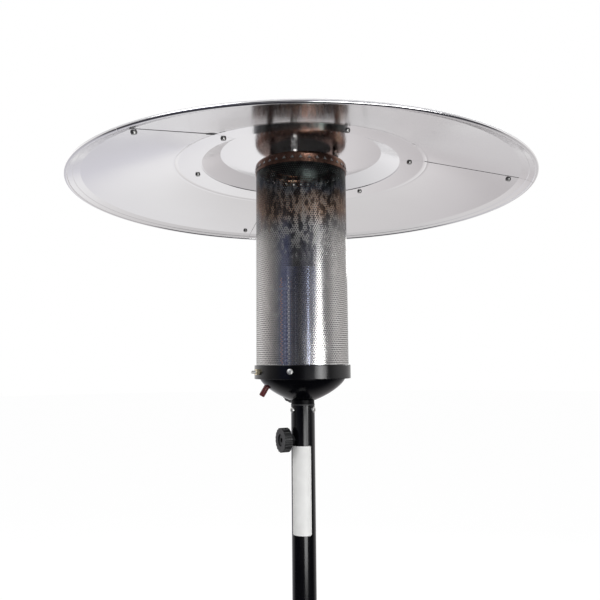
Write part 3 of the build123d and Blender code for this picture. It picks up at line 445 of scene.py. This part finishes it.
def ceramic(name):
    """Glazed insulator."""
    finish = Finish(name)
    crackle = finish.noise(300.0, 3.0)
    tint = finish.mix(crackle, (0.8, 0.78, 0.72), (0.7, 0.66, 0.58))
    return finish.surface(Base_Color=tint, Roughness=0.15 + 0.1 * crackle)


def cast_iron(name):
    """Raw casting."""
    finish = Finish(name)
    sand = finish.noise(500.0, 4.0)
    return finish.surface(Base_Color=finish.mix(sand, (0.05, 0.05, 0.05), (0.12, 0.11, 0.1)),
                          Metallic=0.6, Roughness=0.6 + 0.2 * sand, Normal=finish.bump(sand, 0.5, 0.0006))


def sticker_paper(name):
    """Blank satin sticker, slightly soiled."""
    finish = Finish(name)
    soil = finish.noise(60.0, 5.0)
    fibre = finish.noise(900.0, 2.0)
    tint = finish.mix(soil, colours().sticker, shade(colours().sticker, 0.82))
    return finish.surface(Base_Color=tint, Roughness=0.42 + 0.1 * soil,
                          Normal=finish.bump(fibre, 0.1, 0.0001))


def slot_finishes():
    """Material of each slot of the record."""
    steel, black = colours().steel, (0.012, 0.012, 0.013)
    return {
        "reflector": polished_aluminium("reflector_polish"),
        "screen_steel": screen_steel("screen_steel"),
        "heat_tinted": heat_tinted("heat_tinted_steel"),
        "stainless": brushed_metal("inner_stainless", (0.4, 0.43, 0.55), 0.12),
        "burner_steel": brushed_metal("burner_steel", shade(steel, 0.16), 0.4),
        "zinc": brushed_metal("bright_zinc", colours().zinc, 0.34, (1.0, 1.0, 4.0)),
        "brass": brushed_metal("turned_brass", colours().brass, 0.36, (1.0, 1.0, 8.0)),
        "copper": brushed_metal("copper_tube", (0.7, 0.33, 0.2), 0.25),
        "black_paint": black_enamel("frame_powder_coat", 0.42, 0.35),
        "housing_black": black_enamel("housing_powder_coat", 0.4, 0.3),
        "mast_black": black_enamel("mast_enamel", 0.14, 0.03, 0.42),
        "bowl_black": black_enamel("bowl_enamel", 0.1, 0.02, 0.1),
        "collar_black": black_enamel("collar_enamel", 0.17, 0.02, 0.36),
        "black_cast": black_enamel("neck_enamel", 0.35, 0.08, 0.08),
        "black_plastic": moulding("black_moulding", black, 0.45),
        "knob_plastic": moulding("knob_moulding", shade(black, 0.5), 0.4),
        "wheel_plastic": moulding("wheel_moulding", shade(black, 1.5), 0.5),
        "foot_rubber": moulding("foot_rubber", shade(black, 1.2), 0.75),
        "tyre": moulding("tyre_rubber", shade(black, 1.1), 0.8),
        "red_button": moulding("button_moulding", colours().button, 0.26),
        "white_ceramic": ceramic("insulator_glaze"),
        "dull_zinc": brushed_metal("dull_zinc", shade(colours().zinc, 0.42), 0.3),
        "ballast_iron": cast_iron("ballast_casting"),
    }


def polar(radius, azimuth, height):
    """Point at a radius and an azimuth from the front, in radians."""
    return Vector((radius * math.sin(azimuth), -radius * math.cos(azimuth), height))


def piece_from(name, points, faces, material, body):
    """Makes a smooth-shaded piece, gives it its finish and lets it ride on a body."""
    mesh = bpy.data.meshes.new(name)
    mesh.from_pydata(points, [], faces)
    mesh.validate()
    mesh.shade_smooth()
    mesh.set_sharp_from_angle(angle=SHARP_ANGLE)
    piece = bpy.data.objects.new(name, mesh)
    bpy.context.scene.collection.objects.link(piece)
    mesh.materials.append(material)
    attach(piece, body)
    return piece


def made_finish(slot):
    """Finish of a record's slot, made once by the finishes operator."""
    return bpy.data.materials[bpy.context.scene["heater_" + slot]]


class HEATER_OT_finishes(Operator):
    """Gives every solid of the frame its finish."""

    bl_idname = "heater.finishes"
    bl_label = "Finishes"

    def execute(self, context):
        finishes = slot_finishes()
        for slot, material in finishes.items():
            context.scene["heater_" + slot] = material.name
        slots = {part["node"]: part["material_slot"] for part in frame["record"]["subparts"]}
        slots["seam_screws"] = slots["pan_bolts"] = "dull_zinc"
        for node, piece in frame["nodes"].items():
            if not piece.material_slots:
                piece.data.materials.append(None)
            for place in piece.material_slots:
                place.link = "OBJECT"
                place.material = finishes[slots[node]]
        return {"FINISHED"}


class HEATER_OT_screen(Operator):
    """Makes the perforated screen with its staggered round holes."""

    bl_idname = "heater.screen"
    bl_label = "Perforated screen"

    def execute(self, context):
        pitch, hole, sheet = sizes().hole_pitch, sizes().hole_radius, sizes().screen_sheet
        columns = round(math.tau * SCREEN_RADIUS / pitch)
        pitch = math.tau * SCREEN_RADIUS / columns
        row_rise = pitch * math.sqrt(3) / 2
        low, high = screen_low.z + row_rise, SCREEN_TOP - row_rise / 2
        rows = int((high - low) / row_rise)
        column, row = np.meshgrid(np.arange(columns), np.arange(-1, rows + 1))
        along = (column + 0.5 * (row % 2)) * pitch
        up = low + row * row_rise
        corner = pitch / math.sqrt(3)

        def wrapped(across, height, radius):
            """Points of a flat pattern wrapped round the axis."""
            turn = across / SCREEN_RADIUS
            return np.stack([radius * np.cos(turn), radius * np.sin(turn), height], -1).reshape(-1, 3)

        count = columns * (rows + 2)
        angles = np.radians(30 + 60 * np.arange(6))
        points = []
        for radius in (SCREEN_RADIUS, SCREEN_RADIUS - sheet):
            points.append(wrapped(along, up + corner, radius))
            points.append(wrapped(along, up - corner, radius))
            for angle in angles:
                points.append(wrapped(along + hole * math.cos(angle), up + hole * math.sin(angle), radius))
        points = np.concatenate(points)

        index = np.arange(count).reshape(rows + 2, columns)
        inside = index[1:-1]
        odd = (np.arange(rows) % 2 == 1)[:, None]
        right_of = {1: np.roll(index, -1, axis=1), -1: np.roll(index, 1, axis=1), 0: index}
        above, below = slice(2, None), slice(0, rows)
        up_right = np.where(odd, right_of[1][above], index[above])
        up_left = np.where(odd, index[above], right_of[-1][above])
        down_right = np.where(odd, right_of[1][below], index[below])
        down_left = np.where(odd, index[below], right_of[-1][below])
        # corners anticlockwise from 30 degrees: each is the top or bottom corner of some cell
        top, bottom = 0, count
        corners = [up_right + bottom, inside + top, up_left + bottom,
                   down_left + top, inside + bottom, down_right + top]
        rims = [inside + (2 + step) * count for step in range(6)]
        layer = 8 * count
        faces = []
        for step in range(6):
            after = (step + 1) % 6
            front = (corners[step], corners[after], rims[after], rims[step])
            faces.append(np.stack([part.ravel() for part in front], -1))
            faces.append(np.stack([part.ravel() + layer for part in reversed(front)], -1))
            wall = (rims[step], rims[after], rims[after] + layer, rims[step] + layer)
            faces.append(np.stack([part.ravel() for part in wall], -1))
        faces = np.concatenate(faces)
        used = np.unique(faces)
        renumber = np.zeros(len(points), int)
        renumber[used] = np.arange(len(used))
        screen = piece_from("perforated_screen", points[used].tolist(), renumber[faces].tolist(),
                            made_finish("screen_steel"), "head")
        # inner faces take the dark sooty steel: soot, and also painted shade for the inside of the screen
        # seen through the holes
        screen.data.materials.append(soot_and_shade_steel("screen_lining_soot_and_shade"))
        lining = (faces >= layer).any(axis=1)
        screen.data.polygons.foreach_set("material_index", lining.astype(np.int32))
        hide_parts("burner_screen")
        return {"FINISHED"}


def revolved(profile, steps=96):
    """Points and faces of a closed profile of (radius, height) turned about the axis."""
    count = len(profile)
    points = [(radius * math.cos(math.tau * n / steps), radius * math.sin(math.tau * n / steps), height)
              for n in range(steps) for radius, height in profile]
    faces = []
    for n in range(steps):
        here, there = n * count, (n + 1) % steps * count
        for k in range(count):
            after = (k + 1) % count
            faces.append((here + k, there + k, there + after, here + after))
    return points, faces


class HEATER_OT_baffle(Operator):
    """Makes the dished baffle that closes the top ring's mouth."""

    bl_idname = "heater.baffle"
    bl_label = "Baffle"

    def execute(self, context):
        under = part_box("screen_top_ring")[1].z - 0.0011
        line = [(0.0005, -0.007), (0.03, -0.0068), (0.046, -0.0052), (0.0535, -0.0022), (0.0575, 0.0)]
        sheet = 0.0008
        profile = [(radius, under + drop) for radius, drop in line]
        profile += [(radius, under + drop - sheet) for radius, drop in reversed(line)]
        points, faces = revolved(profile)
        piece_from("top_baffle", points, faces, soot_and_shade_steel("baffle_soot"), "head")
        return {"FINISHED"}


class HEATER_OT_tabs(Operator):
    """Makes the bright tongues pressed in from the triangular vents of the top ring."""

    bl_idname = "heater.tabs"
    bl_label = "Vent tongues"

    def execute(self, context):
        outer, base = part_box("screen_top_ring")[1].x, SCREEN_TOP + VENT_BASE
        points, faces = [], []
        for vent in range(VENT_COUNT):
            azimuth = math.tau * vent / VENT_COUNT
            start = len(points)
            for back in (0.0, -0.0004):
                for side, rise, out in ((-0.46, 0.06, 0.0014), (0.46, 0.06, 0.0014), (0.0, 0.95, -0.0004)):
                    radius = outer + out + back
                    across = side * VENT_WIDTH / radius
                    points.append(polar(radius, azimuth + across, base + rise * VENT_HEIGHT))
            faces += [(start, start + 1, start + 2), (start + 5, start + 4, start + 3)]
            for step in range(3):
                after = (step + 1) % 3
                faces.append((start + after, start + step, start + 3 + step, start + 3 + after))
        piece_from("vent_tongues", points, faces, made_finish("zinc"), "head")
        return {"FINISHED"}


class HEATER_OT_rear_shade(Operator):
    """Makes a dark sheet behind the back half of the screen: painted shade for the inside of the screen, seen
    through the front holes.
    """

    bl_idname = "heater.shield"
    bl_label = "Rear shield"

    def execute(self, context):
        steps = 60
        outer = SCREEN_RADIUS - 0.0009
        low, high = COLLAR_TOP + 0.0005, SCREEN_TOP - 0.001
        points, faces = [], []
        for step in range(steps + 1):
            azimuth = math.radians(96 + 168 * step / steps)
            for radius in (outer, outer - 0.0005):
                points += [polar(radius, azimuth, low), polar(radius, azimuth, high)]
        for step in range(steps):
            a, b = 4 * step, 4 * step + 4
            faces += [(a, b, b + 1, a + 1), (a + 2, a + 3, b + 3, b + 2)]
            faces += [(a, a + 2, b + 2, b), (a + 1, b + 1, b + 3, a + 3)]
        last = 4 * steps
        faces += [(0, 1, 3, 2), (last, last + 2, last + 3, last + 1)]
        finish = Finish("rear_painted_shade")
        # near black with grey patches: the dark is painted shade for the screen's inside
        flames = finish.noise(34.0, 5.0, (1.0, 1.0, 0.7))
        tint = finish.ramp(
            flames, (0.35, (0.012, 0.013, 0.016)), (0.55, (0.1, 0.1, 0.11)), (0.72, (0.45, 0.44, 0.43)))
        finish.surface(Base_Color=tint, Metallic=0.5, Roughness=0.5 + 0.2 * flames)
        piece_from("rear_shade_sheet", points, faces, finish.material, "head")
        return {"FINISHED"}


def turned(profile, centre, outward, steps=28):
    """Points and faces of a profile of (radius, rise) turned about a line through a centre."""
    turn = Vector(outward).normalized().to_track_quat("Z", "Y").to_matrix()
    points, faces = revolved(profile, steps)
    return [Vector(centre) + turn @ Vector(point) for point in points], faces


def turned_group(name, profile, places, material, body, steps=28):
    """One piece made of the same turned profile at several places."""
    points, faces = [], []
    for centre, outward in places:
        more, around = turned(profile, centre, outward, steps)
        faces += [tuple(corner + len(points) for corner in face) for face in around]
        points += more
    return piece_from(name, points, faces, material, body)


def pan_head(radius, rise, shank=0.006):
    """Profile of a pan head with a socket in its middle and a short shank."""
    socket = 0.42 * radius
    return [
        (0.45 * radius, -shank), (0.45 * radius, 0.0), (radius, 0.0), (radius, 0.35 * rise),
        (0.9 * radius, 0.72 * rise), (0.66 * radius, 0.96 * rise), (socket, rise),
        (0.9 * socket, 0.3 * rise), (0.00005, 0.2 * rise), (0.00005, -shank),
    ]


def outward(azimuth):
    """Level direction at an azimuth in degrees."""
    return polar(1.0, math.radians(azimuth), 0.0)


class HEATER_OT_screws(Operator):
    """Makes the socket pan heads of the collar and of the mast's bush, and the studs' nuts."""

    bl_idname = "heater.screws"
    bl_label = "Screws"

    def execute(self, context):
        zinc = made_finish("zinc")
        low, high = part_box("collar_screws")
        height = (low.z + high.z) / 2
        places = [(polar(collar_high.x, math.radians(a), height), outward(a)) for a in COLLAR_SCREWS]
        heads = turned_group("collar_pan_heads", pan_head(0.0052, 0.0026), places, zinc, "head")
        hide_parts("collar_screws")
        low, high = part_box("bush_screws")
        height = (low.z + high.z) / 2 + 0.0022
        places = [(polar(MAST_RADIUS - 0.0002, math.radians(a), height), outward(a)) for a in BUSH_SCREWS]
        heads = turned_group("bush_pan_heads", pan_head(0.0055, 0.0028, 0.001), places, zinc, "base")
        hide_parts("bush_screws")
        self.spacers(zinc)
        return {"FINISHED"}

    def spacers(self, zinc):
        """Chamfered hexagon nuts on the three studs: one in the top ring, three stacked on it."""
        levels = (
            (0.0, 0.86), (NUT_CHAMFER, 1.0), (NUT_HEIGHT - NUT_CHAMFER, 1.0), (NUT_HEIGHT, 0.86),
        )
        points, faces = [], []
        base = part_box("screen_top_ring")[1].z
        for azimuth in STUD_AZIMUTHS:
            middle = polar(STUD_CIRCLE, math.radians(azimuth), base)
            for number, level in enumerate(NUT_LEVELS):
                start = len(points)
                for up, share in levels:
                    for n in range(6):
                        turn = math.radians(60 * n + 17 * number)
                        reach = Vector((math.cos(turn), math.sin(turn), 0.0)) * NUT_CORNER * share
                        points.append(middle + reach + Vector((0.0, 0.0, up + level)))
                for ring in range(3):
                    for n in range(6):
                        a, b = start + 6 * ring + n, start + 6 * ring + (n + 1) % 6
                        faces.append((a, b, b + 6, a + 6))
                faces.append(tuple(start + n for n in reversed(range(6))))
                faces.append(tuple(start + 18 + n for n in range(6)))
        nuts = piece_from("spacer_nuts", points, faces, zinc, "head")
        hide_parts("stud_nuts")


class HEATER_OT_bowl(Operator):
    """Makes the pressed bowl with its nearly straight flanks."""

    bl_idname = "heater.bowl"
    bl_label = "Bowl"

    def execute(self, context):
        top, reach = collar_low.z + 0.001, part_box("bowl")[1].x
        widest = reach - BOWL_SHEET / 2
        steps = 30
        line = []
        for step in range(steps + 1):
            radius = BOWL_NECK + (widest - BOWL_NECK) * (1 - (1 - step / steps) ** 2)
            drop = BOWL_DEPTH * (1 - (radius / reach) ** BOWL_POWER) ** (1 / BOWL_POWER)
            line.append((radius, top - drop))
        low = line[0][1]
        outer = [(BOWL_NECK - 0.002, low - 0.0006), (BOWL_NECK, low - 0.0002), *line, (widest, top + 0.004)]
        inner = [(radius - BOWL_SHEET, height + 0.001) for radius, height in reversed(outer)]
        points, faces = revolved(outer + inner, 128)
        bowl = piece_from("pressed_bowl", points, faces, made_finish("bowl_black"), "head")
        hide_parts("bowl")
        return {"FINISHED"}


class HEATER_OT_igniter(Operator):
    """Makes the slim red push button of the igniter in its small bezel."""

    bl_idname = "heater.igniter"
    bl_label = "Igniter button"

    def execute(self, context):
        way = Vector((-math.cos(IGNITER_DIP), 0.0, -math.sin(IGNITER_DIP)))
        tip = Vector((-IGNITER_OUT, 0.0, collar_low.z - IGNITER_DROP))
        root = tip - way * IGNITER_LENGTH
        bezel = [(0.0084, -0.014), (0.0093, -0.014), (0.0093, -0.0065), (0.009, -0.006), (0.0084, -0.006)]
        points, faces = turned(bezel, root, way, 40)
        black = made_finish("black_plastic")
        barrel = piece_from("igniter_bezel", points, faces, black, "head")
        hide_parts("igniter_barrel")
        stick = [
            (0.0001, -0.004), (IGNITER_RADIUS, -0.004), (IGNITER_RADIUS, IGNITER_LENGTH - 0.0012),
            (IGNITER_RADIUS - 0.0004, IGNITER_LENGTH - 0.0003), (IGNITER_RADIUS - 0.0011, IGNITER_LENGTH),
            (0.0001, IGNITER_LENGTH - 0.0001),
        ]
        points, faces = turned(stick, root, way, 40)
        button = piece_from("igniter_push", points, faces, made_finish("red_button"), "button")
        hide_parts("igniter_button")
        return {"FINISHED"}


class HEATER_OT_seams(Operator):
    """Makes dark strips under the overlapping edges of the reflector's panels: painted shadow along the
    seams.
    """

    bl_idname = "heater.seams"
    bl_label = "Panel seams"

    def execute(self, context):
        trees = []
        for node in ("reflector_panel_1", "reflector_panel_2", "reflector_panel_3", "centre_pan"):
            piece = frame["nodes"][node]
            corners = [piece.matrix_world @ vertex.co for vertex in piece.data.vertices]
            sides = [tuple(face.vertices) for face in piece.data.polygons]
            trees.append(BVHTree.FromPolygons(corners, sides))

        def under(place):
            """Height of the sheet's lower face over a place."""
            start = Vector((place.x, place.y, SEAM_VIEW))
            hits = [tree.ray_cast(start, Vector((0.0, 0.0, 1.0)))[0] for tree in trees]
            return min(hit.z for hit in hits if hit is not None)

        # near-black colour with a faint mottle: painted shadow of the overlapping edges, not dirt
        finish = Finish("seam_shadow")
        seam_shadow_mottle = finish.noise(200.0, 3.0)
        tint = finish.mix(seam_shadow_mottle, (0.012, 0.012, 0.014), (0.06, 0.06, 0.065))
        finish.surface(Base_Color=tint, Roughness=0.7)
        steps = 40
        for number, (azimuth, wide, fine) in enumerate(SEAM_SHADOW_STRIPS):
            points, faces = [], []
            for step in range(steps + 1):
                share = step / steps
                radius = SEAM_INNER + (SEAM_OUTER - SEAM_INNER) * share
                width = fine + (wide - fine) * max(0.25 * (1 - share) ** 2, 1.0 if share < 0.12 else 0.0)
                along = math.radians(azimuth)
                for side in (-0.5, 0.5):
                    place = polar(radius, along + side * width / radius, 0.0)
                    height = under(place)
                    for drop in (0.00035, 0.0001):
                        points.append(Vector((place.x, place.y, height - drop)))
            for step in range(steps):
                a, b = 4 * step, 4 * step + 4
                faces += [(a, b, b + 2, a + 2), (a + 1, a + 3, b + 3, b + 1)]
                faces += [(a, a + 1, b + 1, b), (a + 2, b + 2, b + 3, a + 3)]
            last = 4 * steps
            faces += [(0, 2, 3, 1), (last, last + 1, last + 3, last + 2)]
            piece_from("seam_shadow_strip_%d" % (number + 1), points, faces, finish.material, "head")
        return {"FINISHED"}


class HEATER_OT_sticker(Operator):
    """Puts the blank sticker on the mast."""

    bl_idname = "heater.sticker"
    bl_label = "Sticker"

    def execute(self, context):
        steps = 24
        top = MAST_TOP - sizes().sticker_drop
        bottom = top - sizes().sticker_height
        corner = 0.002
        points, faces = [], []
        for radius in (MAST_RADIUS + 0.00022, MAST_RADIUS + 0.00006):
            for step in range(steps + 1):
                share = step / steps
                azimuth = sizes().sticker_from + (sizes().sticker_to - sizes().sticker_from) * share
                edge = min(share, 1 - share) * (sizes().sticker_to - sizes().sticker_from) * MAST_RADIUS
                inset = max(0.0, corner - edge)
                cut = corner - math.sqrt(max(0.0, corner**2 - inset**2))
                points.append(polar(radius, azimuth, bottom + cut))
                points.append(polar(radius, azimuth, top - cut))
        layer = 2 * (steps + 1)
        for step in range(steps):
            a = 2 * step
            faces.append((a, a + 2, a + 3, a + 1))
            faces.append((layer + a, layer + a + 1, layer + a + 3, layer + a + 2))
            faces.append((a, layer + a, layer + a + 2, a + 2))
            faces.append((a + 1, a + 3, layer + a + 3, layer + a + 1))
        last = 2 * steps
        faces.append((0, 1, layer + 1, layer))
        faces.append((last, layer + last, layer + last + 1, last + 1))
        piece_from("mast_sticker", points, faces, sticker_paper("blank_sticker"), "base")
        return {"FINISHED"}


class HEATER_OT_stage(Operator):
    """Sets the floor, the backdrop, the lights and the camera."""

    bl_idname = "heater.stage"
    bl_label = "Studio"

    def execute(self, context):
        scene = context.scene
        scene.view_settings.view_transform = "Standard"
        self.floor(scene)
        self.world(scene)
        self.light("key_light", (-2.4, -2.2, 3.9), (2.0, 2.0), 55.0)
        self.light("back_light", (0.6, 3.0, 3.0), (2.0, 2.0), 40.0)
        self.light("strip_light", (2.03, -2.2, 1.44), (0.62, 1.5), 14.0)
        self.light("collar_light", (1.95, -2.1, 1.37), (1.4, 0.12), 9.5)
        self.light("low_light", (0.85, -2.35, 0.72), (1.25, 0.85), 22.0)
        self.camera(scene)
        return {"FINISHED"}

    def floor(self, scene):
        """Pale round floor that the camera sees nearly white."""
        finish = Finish("studio_floor")
        grain = finish.noise(3.0, 2.0)
        tint = finish.mix(grain, (0.86, 0.86, 0.86), (0.82, 0.82, 0.82))
        diffuse = finish.node("ShaderNodeBsdfDiffuse", values={"Color": tint})
        place = finish.place()
        across = finish.part(place, "X") * (1 / 6) + 0.5 + 0.05 * (grain - 0.5)
        pale = finish.ramp(across, *[(0.5 + metres / 6, colour) for metres, colour in STUDIO_FLOOR])
        depth = finish.part(place, "Y") * (1 / 13) + 0.55
        behind = finish.ramp(depth, *[(0.55 + metres / 13, (level,) * 3) for metres, level in STUDIO_DEPTH])
        mirrored = finish.mix(behind, (0.04, 0.04, 0.05), pale)
        camera = finish.node("ShaderNodeLightPath", output="Is Camera Ray")
        glossy = finish.node("ShaderNodeLightPath", output="Is Glossy Ray")
        through = finish.node("ShaderNodeLightPath", output="Is Transmission Ray")
        colour = finish.mix(glossy, (1.13, 1.13, 1.13), mirrored)
        white = finish.node("ShaderNodeEmission", values={"Color": colour, "Strength": 1.0})
        seen = (camera * 0.8 + glossy + through * 0.8).clamp()
        mixed = finish.node("ShaderNodeMixShader", values={0: seen, 1: diffuse, 2: white})
        finish.node("ShaderNodeOutputMaterial", values={"Surface": mixed})
        steps, reach = 96, 30.0
        rim = [(reach * math.cos(math.tau * n / steps), reach * math.sin(math.tau * n / steps), 0.0)
               for n in range(steps)]
        mesh = bpy.data.meshes.new("studio_floor")
        mesh.from_pydata(rim, [], [tuple(range(steps))])
        mesh.materials.append(finish.material)
        floor = bpy.data.objects.new("studio_floor", mesh)
        scene.collection.objects.link(floor)

    def world(self, scene):
        """White surroundings with soft boxes and a dim photographer's side in their reflections."""
        studio = Finish("studio_world", "worlds")
        way = studio.node("ShaderNodeTexCoord", output="Generated")
        right, back = studio.part(way, "X"), studio.part(way, "Y")
        rise = studio.part(way, "Z")
        turn = right.maths("ARCTAN2", 0 - back) * (1 / math.tau) + 0.5
        ring = studio.ramp(turn, *[(0.5 + degrees / 360, colour) for degrees, colour in STUDIO_RING])
        high = ((rise - 0.345) * 12).clamp()
        shown = studio.mix(high, ring, (0.8, 0.8, 0.82))
        camera = studio.node("ShaderNodeLightPath", output="Is Camera Ray")
        glossy = studio.node("ShaderNodeLightPath", output="Is Glossy Ray")
        through = studio.node("ShaderNodeLightPath", output="Is Transmission Ray")
        seen = studio.mix(glossy, (0.5, 0.5, 0.5), shown)
        seen = studio.mix(camera.maths("MAXIMUM", through), seen, (1.0, 1.0, 1.0))
        sky = studio.node("ShaderNodeBackground", values={"Color": seen, "Strength": 1.0})
        studio.node("ShaderNodeOutputWorld", values={"Surface": sky})
        scene.world = studio.material

    def light(self, name, place, size, watts):
        """Soft light box aimed at the head."""
        data = bpy.data.lights.new(name, "AREA")
        data.shape = "RECTANGLE"
        data.size, data.size_y = size
        data.energy = watts
        light = bpy.data.objects.new(name, data)
        light.location = place
        aim = Vector((0.0, 0.0, COLLAR_TOP)) - Vector(place)
        light.rotation_mode = "QUATERNION"
        light.rotation_quaternion = aim.to_track_quat("-Z", "Y")
        bpy.context.scene.collection.objects.link(light)

    def camera(self, scene):
        """Camera at the photograph's viewpoint."""
        data = bpy.data.cameras.new("viewpoint")
        data.sensor_width = SENSOR
        data.lens = FOCAL_PIXELS / PICTURE_SIDE * SENSOR
        data.clip_start, data.clip_end = 0.05, 100.0
        ahead = Vector((math.sin(EYE_YAW) * math.cos(EYE_PITCH), math.cos(EYE_YAW) * math.cos(EYE_PITCH),
                        math.sin(EYE_PITCH)))
        level = Vector((math.cos(EYE_YAW), -math.sin(EYE_YAW), 0.0))
        upright = level.cross(ahead)
        right = math.cos(EYE_ROLL) * level + math.sin(EYE_ROLL) * upright
        up = math.cos(EYE_ROLL) * upright - math.sin(EYE_ROLL) * level
        place = Vector((0.0, -EYE_DISTANCE, COLLAR_TOP + EYE_RISE))
        camera = bpy.data.objects.new("viewpoint", data)
        turn = Matrix((right, up, -ahead)).transposed().to_4x4()
        camera.matrix_world = Matrix.Translation(place) @ turn
        scene.collection.objects.link(camera)
        scene.camera = camera


class HEATER_PT_panel(Panel):
    """Lists the heater's pieces."""

    bl_label = "Heater"
    bl_idname = "HEATER_PT_panel"
    bl_space_type = "VIEW_3D"
    bl_region_type = "UI"
    bl_category = "Heater"

    def draw(self, context):
        for group in (context.scene.heater_sizes, context.scene.heater_colours):
            for name in group.__annotations__:
                self.layout.prop(group, name)
        for step in STEPS:
            self.layout.operator(step.bl_idname)


STEPS = (
    HEATER_OT_stage, HEATER_OT_finishes, HEATER_OT_screen, HEATER_OT_rear_shade, HEATER_OT_baffle, HEATER_OT_tabs,
    HEATER_OT_bowl, HEATER_OT_igniter, HEATER_OT_screws, HEATER_OT_seams, HEATER_OT_sticker,
)
CLASSES = (Sizes, Colours, *STEPS, HEATER_PT_panel)


def register():
    """Registers the classes and the scene's settings."""
    for kind in CLASSES:
        bpy.utils.register_class(kind)
    bpy.types.Scene.heater_sizes = PointerProperty(type=Sizes)
    bpy.types.Scene.heater_colours = PointerProperty(type=Colours)


def unregister():
    """Takes them away again."""
    del bpy.types.Scene.heater_colours
    del bpy.types.Scene.heater_sizes
    for kind in reversed(CLASSES):
        bpy.utils.unregister_class(kind)


def main():
    """Makes the whole scene in order."""
    register()
    bpy.ops.heater.stage()
    bpy.ops.heater.finishes()
    bpy.ops.heater.screen()
    bpy.ops.heater.shield()
    bpy.ops.heater.baffle()
    bpy.ops.heater.tabs()
    bpy.ops.heater.bowl()
    bpy.ops.heater.igniter()
    bpy.ops.heater.screws()
    bpy.ops.heater.seams()
    bpy.ops.heater.sticker()


if __name__ == "__main__":
    main()
